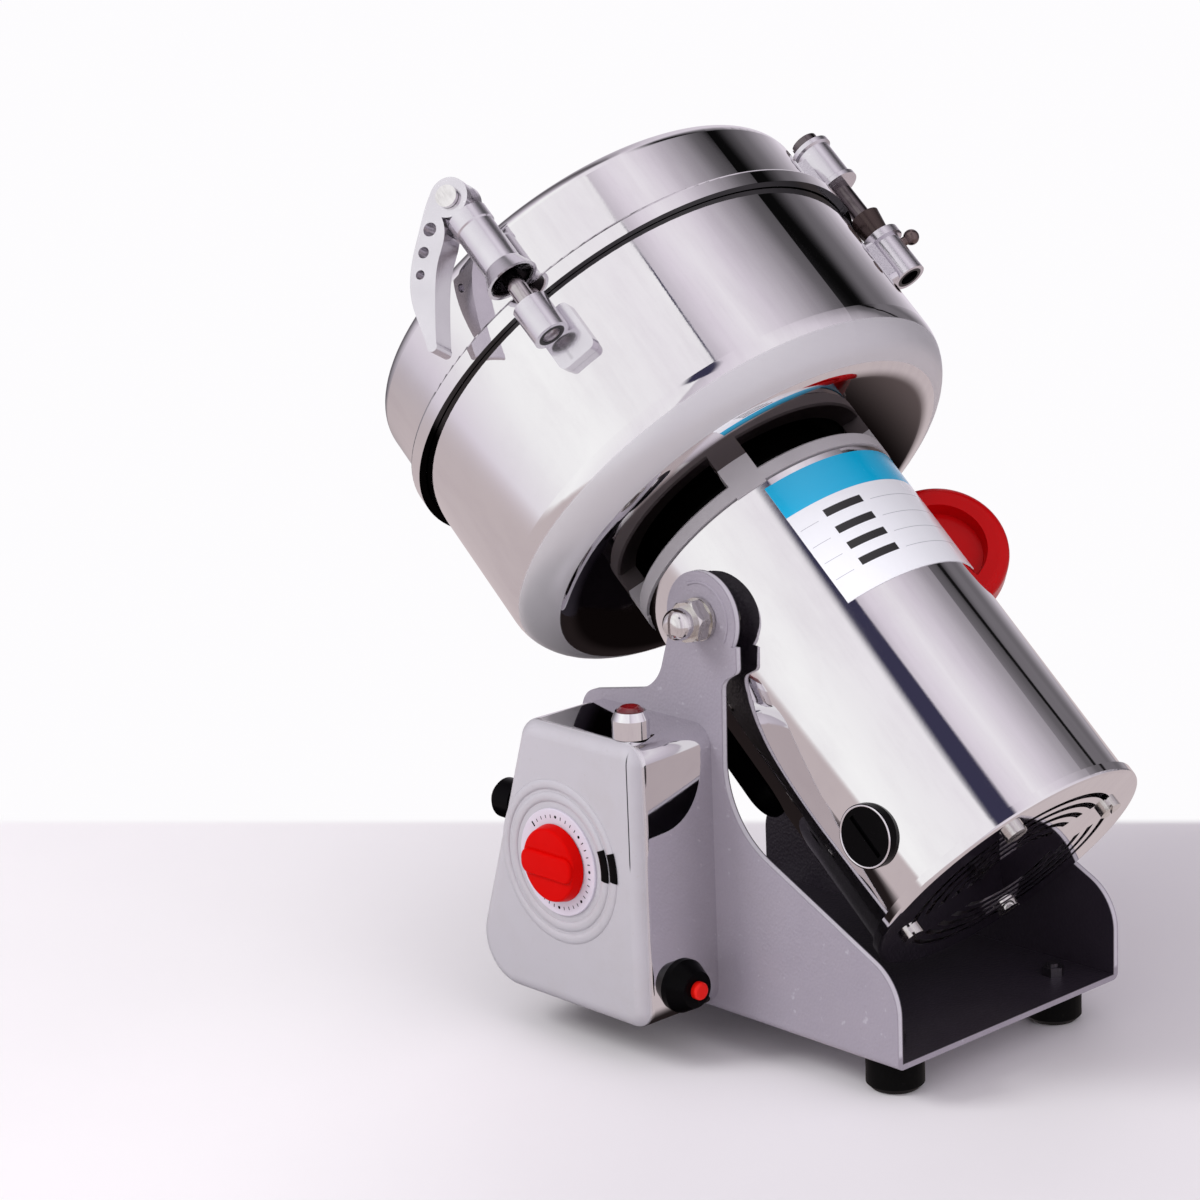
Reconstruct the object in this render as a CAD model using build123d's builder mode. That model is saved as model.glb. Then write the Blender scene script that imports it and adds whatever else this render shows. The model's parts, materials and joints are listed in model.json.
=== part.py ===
"""Swing-type electric grain mill: base, switch box, tilting motor, grinding bowl and lid."""
from build123d import *
from math import cos, radians, sin
import os

os.makedirs("parts", exist_ok=True)

# ---- driving dimensions, in millimetres and degrees ----

# where the tilting axis stands, counted from the middle of the whole mill on the table
pivot_x = 28.0
middle_y = 8.9
tilt = 48.0                 # lean of the motor axis from upright, bowl towards -X
axis_back = 6.5             # the motor axis passes this far behind the tilting axis

# base: one folded sheet, two side walls and a floor, with the motor's tube between them
tube_r = 58.5
base_front = 99.0           # ahead of the tilting axis
base_rear = 96.0
wall = 3.0
tube_room = 4.5             # from the tube to the inside of a side wall
base_width = 2 * (tube_r + tube_room + wall)
pivot_height = 161.0        # tilting axis above the underside of the floor
floor = 2.5
fold_radius = 3.0
lobe_r = 18.7
foot_height = 16.0
foot_r = 11.5
foot_inset = 18.5
foot_screw_r = 2.4

# clearances
running = 0.06              # radial clearance of a shaft in its bore
seat = 0.03                 # between a part and the curved face it is fixed to
gap = 0.3                   # between faces that pass each other

# tilting axis
bolt_r = 5.0
bush_r = 7.0
bush_flange_r = 9.5
bush_flange_t = 1.2
block_r = 10.0
block_depth = 14.0
washer_r = 8.6
washer_t = 1.6
nut_t = 6.5
nut_flats = 15.6
head_r = 6.4
head_length = 8.5

# switch box, heights above the underside of the floor
box_right = 3.5             # ahead of the tilting axis
box_top = 118.5
box_bottom = 2.0
box_left_top = -63.0
box_left_bottom = -101.0
box_depth = 41.0
box_wall = 1.6
box_posts = [(-32.0, 105.0), (-82.0, 22.0), (-12.0, 33.0)]
box_screw_r = 1.6
timer_x = -42.6
timer_h = 63.0
timer_body_size = 34.0
timer_body_depth = 26.0
timer_neck_r = 5.5
timer_shaft_r = 3.0
knob_r = 16.4
knob_t = 5.0
bezel_r = knob_r + 7.0
bezel_t = 3.2
grip_t = 5.5
lamp_x = -9.6
lamp_back = 11.0            # behind the front of the box
lamp_r = 7.4
lamp_height = 10.5
lens_r = 5.3
breaker_h = 16.5
breaker_back = 21.5
breaker_r = 10.8
breaker_t = 8.0
button_r = 3.6
button_travel = 2.0
fuse_h = 77.0
fuse_back = 14.0
fuse_r = 8.3
fuse_out = 15.0

# motor: heights run along its axis, counted from the tilting axis
tube_wall = 1.5
tube_top = 28.6
tube_bottom = -136.0
end_plate_r = tube_r + 2.0
end_plate_t = 2.6
end_screw_circle = 46.0
end_screw_angle = 54.0
ring_r = tube_r + 0.7
ring_gap = 0.9
ring_top = tube_top + 6.9
post_angle = -42.0
post_width = 13.5
post_depth = 8.0
neck_r = 44.0
shaft_r = 6.0
thread_r = 5.0
bearing_r = 16.0
bearing_t = 12.0
stator_top = -47.0
stator_bottom = -92.0
rotor_r = tube_r / 2
air_gap = 0.6
brush_height = -108.0
brush_angle = -85.0
brush_cap_r = 12.6
brush_cap_out = 2.4         # the cap's face beyond the tube
holder_r = 8.0
commutator_r = 17.0
fan_r = 44.0
label_t = 0.3
handle_angle = 60.0
handle_top = 16.0
handle_bottom = -41.0
handle_out = 23.8
handle_grip = 10.5          # width of the rim round the finger hollow
handle_width = 17.0
handle_web = 5.0
boot_angle = -152.0
boot_out = 9.0

# bowl and lid
bowl_r = 103.5
bowl_wall = 1.6
bowl_bottom = tube_top + 14.4
bowl_top = bowl_bottom + 87.6
bowl_floor = bowl_bottom + bowl_wall
shoulder_r = 20.0
band_r = bowl_r + 3.5
band_bottom = bowl_top - 3.4
band_top = bowl_top + 4.0
lid_r = bowl_r - 1.2
lid_wall = 1.6
lid_top = band_top + 32.9
lid_round = 6.5
blade_width = 17.0
blade_t = 2.4
lower_blade_r = bowl_r - 15.5
upper_blade_r = 62.0
lower_blade_h = bowl_floor + 13.4
upper_blade_h = lower_blade_h + blade_t + 10.0
blade_nut_h = upper_blade_h + blade_t
blade_nut_t = 14.2
hub_r = 14.0

# lid clamps, one with a lever and one with a plain post
clamp_angle = -58.5
clamp_r = bowl_r + 10.7
lug_r = 7.5
lug_bottom = bowl_top - 23.6
lug_top = bowl_top - 7.6
barrel_r = 8.0
barrel_bottom = band_top + 8.4
barrel_top = lid_top + 2.5
rod_r = 3.8
lever_pin_h = barrel_top + 8.5
lever_ear_r = 8.2
lever_half = 6.6            # half the lever's thickness
eye_half = 2.9
pin_r = 2.5
post_side_angle = 54.0
post_side_r = bowl_r + 11.1
post_r = 4.0
post_lug_r = 7.2
post_low = bowl_top - 33.6
post_lug_top = bowl_top - 13.6
post_top = lid_top + 4.5

# ---- planes that the pieces share ----

pivot_z = foot_height + pivot_height
pivot_point = Vector(pivot_x, middle_y, pivot_z)
lean = Vector(cos(radians(tilt)), 0, sin(radians(tilt)))
up = Vector(-sin(radians(tilt)), 0, cos(radians(tilt)))
near = base_width / 2
table = Plane(origin=(pivot_x, middle_y, 0))
underside = table.offset(foot_height)
# seen from the near side: x ahead of the tilting axis, y above it
side = Plane(origin=pivot_point, x_dir=(1, 0, 0), z_dir=(0, -1, 0))
box_front = side.offset(near + box_depth)
motor_axis = Plane(origin=pivot_point - lean * axis_back, x_dir=lean, z_dir=up)
# outer faces of the two side walls at the tilting axis
wall_faces = [
    Plane(origin=pivot_point + Vector(0, way * near, 0), x_dir=(1, 0, 0), z_dir=(0, way, 0))
    for way in (-1, 1)
]


def directions(angle):
    """Away from the motor axis, and along the rim, at an angle round it."""
    a = radians(angle)
    outward = lean * cos(a) + Vector(0, 1, 0) * sin(a)
    along = Vector(0, 1, 0) * cos(a) - lean * sin(a)
    return outward, along


def standing(angle, radius, height=0.0):
    """Plane across an axis parallel to the motor's: x along the rim."""
    outward, along = directions(angle)
    return Plane(origin=motor_axis.origin + outward * radius + up * height, x_dir=along, z_dir=up)


def facing(angle, radius, height=0.0):
    """Plane that faces away from the motor axis: x along the rim, y along the axis."""
    outward, along = directions(angle)
    return Plane(origin=motor_axis.origin + outward * radius + up * height, x_dir=along, z_dir=outward)


def through(angle):
    """Plane through the motor axis: x away from the axis, y along it."""
    outward, along = directions(angle)
    return Plane(origin=motor_axis.origin, x_dir=outward, z_dir=-along)


def on_box(x, height, out=0.0):
    """Plane on the front of the switch box."""
    return Plane(origin=box_front.offset(out).from_local_coords((x, height - pivot_height, 0)),
                 x_dir=(1, 0, 0), z_dir=(0, -1, 0))


def disc(plane, low, high, outer, inner=0.0, mode=Mode.ADD):
    """A disc or ring between two heights above a plane."""
    with BuildSketch(plane.offset(low)) as outline:
        Circle(outer)
        if inner > 0:
            Circle(inner, mode=Mode.SUBTRACT)
    extrude(outline.sketch, amount=high - low, mode=mode)


def turned(points, rounds=(), plane=None, mode=Mode.ADD):
    """A turned part: (radius, height) points round a plane's normal, some corners rounded."""
    plane = motor_axis if plane is None else plane
    section = Plane(origin=plane.origin, x_dir=plane.x_dir, z_dir=-plane.y_dir)
    with BuildSketch(section) as outline:
        with BuildLine():
            Polyline(*points, close=True)
        make_face()
        for corner, radius in rounds:
            fillet(outline.vertices().sort_by_distance((*corner, 0))[0], radius)
    revolve(outline.sketch, Axis(plane.origin, plane.z_dir), mode=mode)


def save(piece, name):
    piece.part.label = name
    export_step(piece.part, f"parts/{name}.step")


# ---- base ----

wall_corners = [
    (-base_rear, -pivot_height),
    (-base_rear, 26 - pivot_height),
    (-68.5, 120.5 - pivot_height),
    (-26, 128.5 - pivot_height),
    (-lobe_r, -10),
    (lobe_r, -9),
    (lobe_r, -19),
    (10.4, -24),
    (9.0, 80 - pivot_height),
    (base_front, 34.5 - pivot_height),
    (base_front, -pivot_height),
]
wall_rounds = zip(wall_corners[1:4] + wall_corners[6:10], (16, 10, 18, 3.5, 6, 40, 22))
foot_x = (foot_inset - base_rear, base_front - foot_inset)
foot_y = (foot_inset - near, near - foot_inset)
foot_spots = [(x, y) for x in foot_x for y in foot_y]

with BuildPart() as base_frame:
    # side wall, with the lobe that carries the tilting axis
    with BuildSketch(side.offset(near - wall)) as wall_outline:
        with BuildLine():
            Polyline(*wall_corners, close=True)
        make_face()
        for corner, radius in wall_rounds:
            fillet(wall_outline.vertices().sort_by_distance((*corner, 0))[0], radius)
        Circle(lobe_r)
        Circle(bush_r + seat, mode=Mode.SUBTRACT)
    extrude(amount=wall)
    mirror(about=Plane(origin=pivot_point, z_dir=(0, 1, 0)))
    with BuildSketch(underside):
        with Locations(((base_front - base_rear) / 2, 0)):
            Rectangle(base_front + base_rear, base_width)
    extrude(amount=floor)
    fillet(base_frame.edges().filter_by(Axis.X).group_by(Axis.Z)[0], fold_radius)
    with BuildSketch(underside):
        with Locations(*foot_spots):
            Circle(foot_screw_r + seat)
    extrude(amount=floor, mode=Mode.SUBTRACT)
    # the near wall lets the wires and the screws of the switch box through
    with BuildSketch(side.offset(near - wall)):
        with Locations((timer_x, timer_h - pivot_height)):
            SlotOverall(34, 18)
        with Locations([(x, h - pivot_height) for x, h in box_posts]):
            Circle(box_screw_r + 0.3)
    extrude(amount=wall, mode=Mode.SUBTRACT)
save(base_frame, "base_frame")

with BuildPart() as feet:
    with BuildSketch(table):
        with Locations(*foot_spots):
            Circle(foot_r)
    extrude(amount=foot_height)
    chamfer(feet.edges().group_by(Axis.Z)[0], 2.2)
    with BuildSketch(table):
        with Locations(*foot_spots):
            Circle(5)
    extrude(amount=5, mode=Mode.SUBTRACT)
    with BuildSketch(table.offset(5)):
        with Locations(*foot_spots):
            Circle(foot_screw_r + seat)
    extrude(amount=foot_height - 5, mode=Mode.SUBTRACT)
save(feet, "rubber_feet")

with BuildPart() as foot_screws:
    with BuildSketch(table.offset(2)):
        with Locations(*foot_spots):
            Circle(4.4)
    extrude(amount=3)
    with BuildSketch(table.offset(5)):
        with Locations(*foot_spots):
            Circle(foot_screw_r)
    extrude(amount=foot_height - 5 + floor + 5)
    # their nuts, on the floor of the base
    with BuildSketch(underside.offset(floor)):
        with Locations(*foot_spots):
            RegularPolygon(4.6, 6)
            Circle(foot_screw_r + seat, mode=Mode.SUBTRACT)
    extrude(amount=3.6)
save(foot_screws, "foot_screws")

# ---- tilting axis: a bolt with a washer and a lock nut through each lobe ----

with BuildPart() as bushes:
    for face in wall_faces:
        disc(face, -wall, 0, bush_r, bolt_r + running)
        disc(face, -wall - bush_flange_t, -wall, bush_flange_r, bolt_r + running)
save(bushes, "pivot_bushes")

block_face = -wall - bush_flange_t - gap
with BuildPart() as blocks:
    for face in wall_faces:
        disc(face, block_face - block_depth, block_face, block_r, bolt_r + seat)
save(blocks, "pivot_blocks")

with BuildPart() as washers:
    for face in wall_faces:
        disc(face, gap, gap + washer_t, washer_r, bolt_r + seat)
save(washers, "pivot_washers")

nut_seat = gap + washer_t
with BuildPart() as nuts:
    for face in wall_faces:
        disc(face, nut_seat, nut_seat + nut_t, nut_flats * 0.565, bolt_r + seat)
    rims = nuts.edges().filter_by(GeomType.CIRCLE).filter_by(lambda e: e.radius > bolt_r + 1)
    chamfer(rims, 1.1, 0.8)
    with BuildSketch(*[face.offset(nut_seat) for face in wall_faces]):
        RegularPolygon(nut_flats / 2, 6, major_radius=False, rotation=12)
    extrude(amount=nut_t, mode=Mode.INTERSECT)
save(nuts, "pivot_nuts")

bolt_end = nut_seat + nut_t
with BuildPart() as bolts:
    for face in wall_faces:
        disc(face, block_face - block_depth + 2, bolt_end, bolt_r)
        turned([(0, bolt_end), (head_r, bolt_end), (head_r, bolt_end + head_length),
                (0, bolt_end + head_length)], [((head_r, bolt_end + head_length), 4.5)], face)
    with BuildSketch(*[face.offset(bolt_end + head_length - 2.4) for face in wall_faces]):
        Rectangle(1.4, head_r * 3)
    extrude(amount=4, mode=Mode.SUBTRACT)
save(bolts, "pivot_bolts")

# ---- switch box and its controls ----

side_slope = (box_left_bottom - box_left_top) / (box_top - box_bottom)
fuse_side = box_left_top + side_slope * (box_top - fuse_h)
box_corners = [
    (box_left_top, box_top),
    (box_left_bottom, box_bottom),
    (box_right, box_bottom),
    (box_right, box_top),
]
fuse_place = Plane(
    origin=box_front.offset(-fuse_back).from_local_coords((fuse_side, fuse_h - pivot_height, 0)),
    x_dir=(0, -1, 0), z_dir=(-1, 0, 0))
lamp_place = Plane(
    origin=box_front.offset(-lamp_back).from_local_coords((lamp_x, box_top - pivot_height, 0)),
    x_dir=(1, 0, 0), z_dir=(0, 0, 1))
breaker_place = Plane(
    origin=box_front.offset(-breaker_back).from_local_coords((box_right, breaker_h - pivot_height, 0)),
    x_dir=(0, 1, 0), z_dir=(1, 0, 0))
timer_place = on_box(timer_x, timer_h)

with BuildPart() as box:
    with BuildSketch(side.offset(near)) as box_outline:
        with BuildLine():
            Polyline(*[(x, h - pivot_height) for x, h in box_corners], close=True)
        make_face()
        for (x, h), radius in zip(box_corners, (9, 20, 9, 9)):
            fillet(box_outline.vertices().sort_by_distance((x, h - pivot_height, 0))[0], radius)
    extrude(amount=box_depth)
    fillet(box.faces().sort_by(Axis.Y)[0].edges(), 6)
    offset(amount=-box_wall, openings=box.faces().sort_by(Axis.Y)[-1])
    with BuildSketch(side.offset(near)):
        with Locations([(x, h - pivot_height) for x, h in box_posts]):
            Circle(4.2)
    extrude(amount=box_depth - box_wall / 2)
    with BuildSketch(side.offset(near)):
        with Locations([(x, h - pivot_height) for x, h in box_posts]):
            Circle(box_screw_r + seat)
    extrude(amount=20, mode=Mode.SUBTRACT)
    disc(timer_place, -8, 8, timer_neck_r + seat, mode=Mode.SUBTRACT)
    disc(lamp_place, -8, 8, lens_r + seat, mode=Mode.SUBTRACT)
    disc(breaker_place, -8, 8, 6 + seat, mode=Mode.SUBTRACT)
    disc(fuse_place, -12, 12, 6.3 + seat, mode=Mode.SUBTRACT)
save(box, "switch_box")

with BuildPart() as box_screws:
    with BuildSketch(side.offset(near - wall)):
        with Locations([(x, h - pivot_height) for x, h in box_posts]):
            Circle(box_screw_r)
    extrude(amount=wall + 14)
    with BuildSketch(side.offset(near - wall)):
        with Locations([(x, h - pivot_height) for x, h in box_posts]):
            Circle(3.2)
    extrude(amount=-2)
save(box_screws, "box_screws")

with BuildPart() as bezel:
    turned([(timer_neck_r + seat, 0), (bezel_r, 0), (bezel_r, bezel_t - 1.4), (bezel_r - 1.4, bezel_t),
            (knob_r + 2.6, bezel_t), (knob_r + 2.0, bezel_t - 0.7), (timer_neck_r + seat, bezel_t - 0.7)],
           plane=timer_place)
save(bezel, "timer_bezel")

with BuildPart() as timer:
    with BuildSketch(timer_place.offset(-box_wall)):
        Rectangle(timer_body_size, timer_body_size)
    extrude(amount=-timer_body_depth)
    disc(timer_place, -box_wall, bezel_t + 1.6, timer_neck_r)
    disc(timer_place, -14, bezel_t + 2, timer_shaft_r + running, mode=Mode.SUBTRACT)
save(timer, "timer_switch")

with BuildPart() as timer_nut:
    with BuildSketch(timer_place.offset(bezel_t - 0.7)):
        RegularPolygon(8, 6)
        Circle(timer_neck_r + seat, mode=Mode.SUBTRACT)
    extrude(amount=2)
save(timer_nut, "timer_nut")

with BuildPart() as timer_shaft:
    disc(timer_place, -13, bezel_t + knob_t + 1, timer_shaft_r)
save(timer_shaft, "timer_shaft")

with BuildPart() as knob:
    knob_seat = bezel_t - 0.7 + gap
    disc(timer_place, knob_seat, knob_seat + knob_t, knob_r)
    chamfer(knob.edges().group_by(Axis.Y)[0], 1.2)
    with BuildSketch(timer_place.offset(knob_seat)):
        SlotOverall(2 * knob_r - 4, 8.5)
    extrude(amount=knob_t + grip_t)
    fillet(knob.edges().group_by(Axis.Y)[0], 1.6)
    disc(timer_place, 0, bezel_t + 3, 9.5, mode=Mode.SUBTRACT)
    disc(timer_place, 0, bezel_t + knob_t + 1 + seat, timer_shaft_r + seat, mode=Mode.SUBTRACT)
save(knob, "timer_knob")

with BuildPart() as lamp_bezel:
    turned([(lens_r + seat, 0), (lamp_r, 0), (lamp_r, lamp_height - 3.2), (lamp_r - 1.4, lamp_height),
            (lens_r + seat, lamp_height)], plane=lamp_place)
save(lamp_bezel, "lamp_bezel")

with BuildPart() as lens:
    turned([(0, -14), (lens_r, -14), (lens_r, lamp_height + 0.4), (lens_r - 1.8, lamp_height + 1.8),
            (0, lamp_height + 1.8)], [((lens_r - 1.8, lamp_height + 1.8), 1.2)], lamp_place)
save(lens, "lamp_lens")

with BuildPart() as breaker:
    turned([(button_r + running, -9), (6, -9), (6, 0), (breaker_r, 0), (breaker_r, 1.4), (7.4, breaker_t),
            (button_r + running, breaker_t)], plane=breaker_place)
    with BuildSketch(breaker_place.offset(-9)):
        Rectangle(15, 14)
    extrude(amount=-18)
save(breaker, "breaker_body")

with BuildPart() as button:
    turned([(0, -9 + button_travel + gap), (button_r, -9 + button_travel + gap),
            (button_r, breaker_t + 3), (0, breaker_t + 3)],
           [((button_r, breaker_t + 3), 1.2)], breaker_place)
save(button, "reset_button")

with BuildPart() as fuse_holder:
    turned([(0, -14), (6.3, -14), (6.3, 6), (4.4, 6), (4.4, -9), (0, -9)], plane=fuse_place)
    # its screw cap
    turned([(0, -8.7), (2.6, -8.7), (2.6, 6 + seat), (6.3 + seat, 6 + seat), (6.3 + seat, 3),
            (fuse_r, 3), (fuse_r, fuse_out - 2.5), (fuse_r - 2, fuse_out), (0, fuse_out)],
           [((fuse_r - 2, fuse_out), 1.0)], fuse_place)
save(fuse_holder, "fuse_holder")

# ---- motor housing ----

flange_bottom = tube_top + ring_gap
tube_bore = tube_r - tube_wall
post_angles = [post_angle + 90 * step for step in range(4)]
end_angles = [end_screw_angle + 90 * step for step in range(4)]
brush_angles = [brush_angle, brush_angle + 180]
handle_mid = (handle_top + handle_bottom) / 2
handle_screw_heights = [handle_top - 6.5, handle_bottom + 6.5]
boot_top = -20.0
boot_bottom = -62.0
boot_width = 22.0
cable_height = boot_top - 12
front_bearing_top = tube_top - 2.6
rear_bearing_bottom = tube_bottom + 3

with BuildPart() as tube:
    disc(motor_axis, tube_bottom, tube_top, tube_r, tube_bore)
    for face in wall_faces:
        disc(face, -30, 0, block_r + seat, mode=Mode.SUBTRACT)
    for angle in brush_angles:
        disc(facing(angle, 0, brush_height), 40, tube_r + 10, holder_r + seat, mode=Mode.SUBTRACT)
    for height in handle_screw_heights:
        disc(facing(handle_angle, 0, height), 40, tube_r + 10, 2.5, mode=Mode.SUBTRACT)
    disc(facing(boot_angle, 0, cable_height), 40, tube_r + 10, 5, mode=Mode.SUBTRACT)
save(tube, "motor_tube")

with BuildPart() as flange:
    bearing_seat = front_bearing_top - bearing_t
    turned([(shaft_r + 2, front_bearing_top), (shaft_r + 2, ring_top), (ring_r - 0.8, ring_top),
            (ring_r, ring_top - 0.8), (ring_r, flange_bottom), (tube_bore - seat, flange_bottom),
            (tube_bore - seat, tube_top - 10.6), (tube_bore - 4, tube_top - 10.6), (tube_bore - 4, tube_top - 1.6),
            (bearing_r + 8, tube_top - 1.6), (bearing_r + 6, bearing_seat), (bearing_r + seat, bearing_seat),
            (bearing_r + seat, front_bearing_top)])
    with BuildSketch(motor_axis.offset(tube_top)):
        with PolarLocations(ring_r - post_depth / 2, 4, post_angle):
            Rectangle(post_depth + 3, post_width)
        Circle(ring_r, mode=Mode.INTERSECT)
        Circle(ring_r - post_depth, mode=Mode.SUBTRACT)
    extrude(amount=bowl_bottom - tube_top)
    with BuildSketch(motor_axis.offset(bowl_bottom)):
        with PolarLocations(ring_r - post_depth / 2, 4, post_angle):
            Circle(2)
    extrude(amount=-12, mode=Mode.SUBTRACT)
save(flange, "motor_flange")

with BuildPart() as collar:
    disc(motor_axis, ring_top, bowl_bottom, neck_r, shaft_r + 8)
save(collar, "neck_collar")

with BuildPart() as bearings:
    disc(motor_axis, front_bearing_top - bearing_t + 1, front_bearing_top, bearing_r, shaft_r + running)
    disc(motor_axis, rear_bearing_bottom, rear_bearing_bottom + bearing_t - 1, bearing_r, shaft_r + running)
save(bearings, "bearings")

with BuildPart() as rear_bracket:
    low = tube_bottom
    arm_start, arm_end = bearing_r + 2, tube_bore - 3
    disc(motor_axis, low, low + 12, tube_bore - seat, tube_bore - 4)
    disc(motor_axis, low, low + 14, bearing_r + 4)
    with BuildSketch(motor_axis.offset(low)):
        with PolarLocations(0, 4, end_screw_angle):
            with Locations(((arm_start + arm_end) / 2, 0)):
                Rectangle(arm_end - arm_start, 11)
    extrude(amount=10)
    disc(motor_axis, rear_bearing_bottom, low + 14, bearing_r + seat, mode=Mode.SUBTRACT)
    disc(motor_axis, low, low + 14, shaft_r + 2, mode=Mode.SUBTRACT)
    with BuildSketch(motor_axis.offset(low)):
        with PolarLocations(end_screw_circle, 4, end_screw_angle):
            Circle(2)
    extrude(amount=10, mode=Mode.SUBTRACT)
save(rear_bracket, "rear_bracket")

end_face = motor_axis.offset(tube_bottom - end_plate_t)
with BuildPart() as end_plate:
    with BuildSketch(end_face):
        Circle(end_plate_r)
        with PolarLocations(end_screw_circle, 4, end_screw_angle):
            Circle(2 + seat, mode=Mode.SUBTRACT)
    extrude(amount=end_plate_t)
    disc(motor_axis, tube_bottom, tube_bottom + 2, end_plate_r, tube_r + seat)
    outer_rim = end_plate.edges().filter_by(lambda e: e.geom_type == GeomType.CIRCLE and e.radius == end_plate_r)
    fillet(outer_rim.sort_by(Axis(motor_axis.origin, up))[0], 1.4)
    # curved air slots, in four groups between the screws
    with BuildSketch(end_face):
        for radius in (46, 40, 34, 28, 22):
            Circle(radius + 1.4)
            Circle(radius - 1.4, mode=Mode.SUBTRACT)
        with PolarLocations(0, 2, end_screw_angle):
            Rectangle(2 * end_plate_r, 22, mode=Mode.SUBTRACT)
    extrude(amount=end_plate_t, mode=Mode.SUBTRACT)
save(end_plate, "end_plate")

with BuildPart() as end_screws:
    with BuildSketch(end_face):
        with PolarLocations(end_screw_circle, 4, end_screw_angle):
            Circle(2 - seat)
    extrude(amount=9)
    with BuildSketch(end_face):
        with PolarLocations(end_screw_circle, 4, end_screw_angle):
            Circle(4.6)
    extrude(amount=-2.4)
    with BuildSketch(end_face.offset(-2.4)):
        with PolarLocations(end_screw_circle, 4, end_screw_angle):
            Rectangle(1.1, 12)
    extrude(amount=1.1, mode=Mode.SUBTRACT)
save(end_screws, "end_screws")

yoke_bore = tube_bore - 6.5
pole_face = rotor_r + air_gap
pole_back = pole_face + 6.4
pole_width = rotor_r - 3.0
with BuildPart() as stator:
    with BuildSketch(motor_axis.offset(stator_bottom)):
        Circle(tube_bore - seat)
        Circle(yoke_bore, mode=Mode.SUBTRACT)
        with PolarLocations((pole_face + yoke_bore) / 2 + 3, 2):
            Rectangle(yoke_bore - pole_face, pole_width)
        # curved shoes that carry the poles round the rotor
        with BuildLine():
            face_arc = CenterArc((0, 0), pole_face, -52, 104)
            back_arc = CenterArc((0, 0), pole_back, -48, 96)
            Line(face_arc @ 0, back_arc @ 0)
            Line(face_arc @ 1, back_arc @ 1)
        shoe = make_face()
        add(shoe, rotation=180)
    extrude(amount=stator_top - stator_bottom)
save(stator, "stator_core")

coil_width = pole_width + 16
coil_start = pole_back + 1
# the coil's outer corners stay inside the yoke
coil_end = (yoke_bore ** 2 - (coil_width / 2) ** 2) ** 0.5 - 1
with BuildPart() as coils:
    for angle in (0, 180):
        with BuildSketch(facing(angle, coil_start, (stator_top + stator_bottom) / 2)):
            RectangleRounded(coil_width, stator_top - stator_bottom + 16, 6)
            Rectangle(pole_width + 0.4, stator_top - stator_bottom + 0.4, mode=Mode.SUBTRACT)
        extrude(amount=coil_end - coil_start)
save(coils, "field_coils")

thread_low = lower_blade_h - 6
thread_top = blade_nut_h + 7.2
with BuildPart() as rotor_shaft:
    turned([(0, rear_bearing_bottom + 0.5), (shaft_r, rear_bearing_bottom + 0.5), (shaft_r, thread_low),
            (thread_r, thread_low), (thread_r, thread_top - 1), (thread_r - 1, thread_top), (0, thread_top)])
save(rotor_shaft, "rotor_shaft")

with BuildPart() as rotor_core:
    with BuildSketch(motor_axis.offset(stator_bottom - 2)):
        Circle(rotor_r)
        with PolarLocations(rotor_r, 12):
            Rectangle(5, 2.4, mode=Mode.SUBTRACT)
        Circle(shaft_r + seat, mode=Mode.SUBTRACT)
    extrude(amount=stator_top - stator_bottom + 4)
save(rotor_core, "rotor_core")

with BuildPart() as rotor_windings:
    for face, end in ((stator_bottom - 2, stator_bottom - 6), (stator_top + 2, stator_top + 6)):
        turned([(shaft_r + 3, face), (rotor_r - 3, face), (rotor_r - 4.5, end), (shaft_r + 3, end)])
save(rotor_windings, "rotor_windings")

with BuildPart() as commutator:
    disc(motor_axis, brush_height - 8, brush_height + 8, commutator_r, shaft_r + seat)
save(commutator, "commutator")

fan_bottom = stator_top + 9
with BuildPart() as fan:
    disc(motor_axis, fan_bottom, fan_bottom + 1.6, fan_r, shaft_r + seat)
    disc(motor_axis, fan_bottom, fan_bottom + 12, 11, shaft_r + seat)
    with BuildSketch(motor_axis.offset(fan_bottom)):
        with PolarLocations(0, 9):
            with Locations((26, 0)):
                Rectangle(34, 1.6)
    extrude(amount=13)
save(fan, "cooling_fan")

cap_face = tube_r + brush_cap_out
holder_inner = commutator_r + 4
with BuildPart() as holders:
    for angle in brush_angles:
        brush_place = facing(angle, 0, brush_height)
        disc(brush_place, holder_inner, tube_r - 1, holder_r, 5.0 + seat)
        disc(brush_place, tube_bore - 5.5, tube_bore - 2.5, 11, holder_r)
save(holders, "brush_holders")

with BuildPart() as brushes:
    for angle in brush_angles:
        with BuildSketch(facing(angle, commutator_r + gap, brush_height)):
            Rectangle(6, 8)
        extrude(amount=22)
save(brushes, "carbon_brushes")

with BuildPart() as brush_caps:
    for angle in brush_angles:
        brush_place = facing(angle, 0, brush_height)
        disc(brush_place, tube_r - 4, cap_face, brush_cap_r)
    disc(motor_axis, brush_height - 20, brush_height + 20, tube_r + seat, mode=Mode.SUBTRACT)
    for angle in brush_angles:
        brush_place = facing(angle, 0, brush_height)
        disc(brush_place, tube_r - 12, tube_r - 0.8, 5.0)
        disc(brush_place, tube_r - 1, cap_face - 0.5, 5.0)
        with BuildSketch(brush_place.offset(cap_face - 1.3)):
            Rectangle(2, 2 * brush_cap_r - 6)
        extrude(amount=3, mode=Mode.SUBTRACT)
save(brush_caps, "brush_caps")

with BuildPart() as label:
    with BuildSketch(motor_axis.offset(-32)):
        with BuildLine():
            inner = CenterArc((0, 0), tube_r + seat, -38, 78)
            outer = CenterArc((0, 0), tube_r + seat + label_t, -38, 78)
            Line(inner @ 0, outer @ 0)
            Line(inner @ 1, outer @ 1)
        make_face()
    extrude(amount=58)
save(label, "label_plate")

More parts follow.
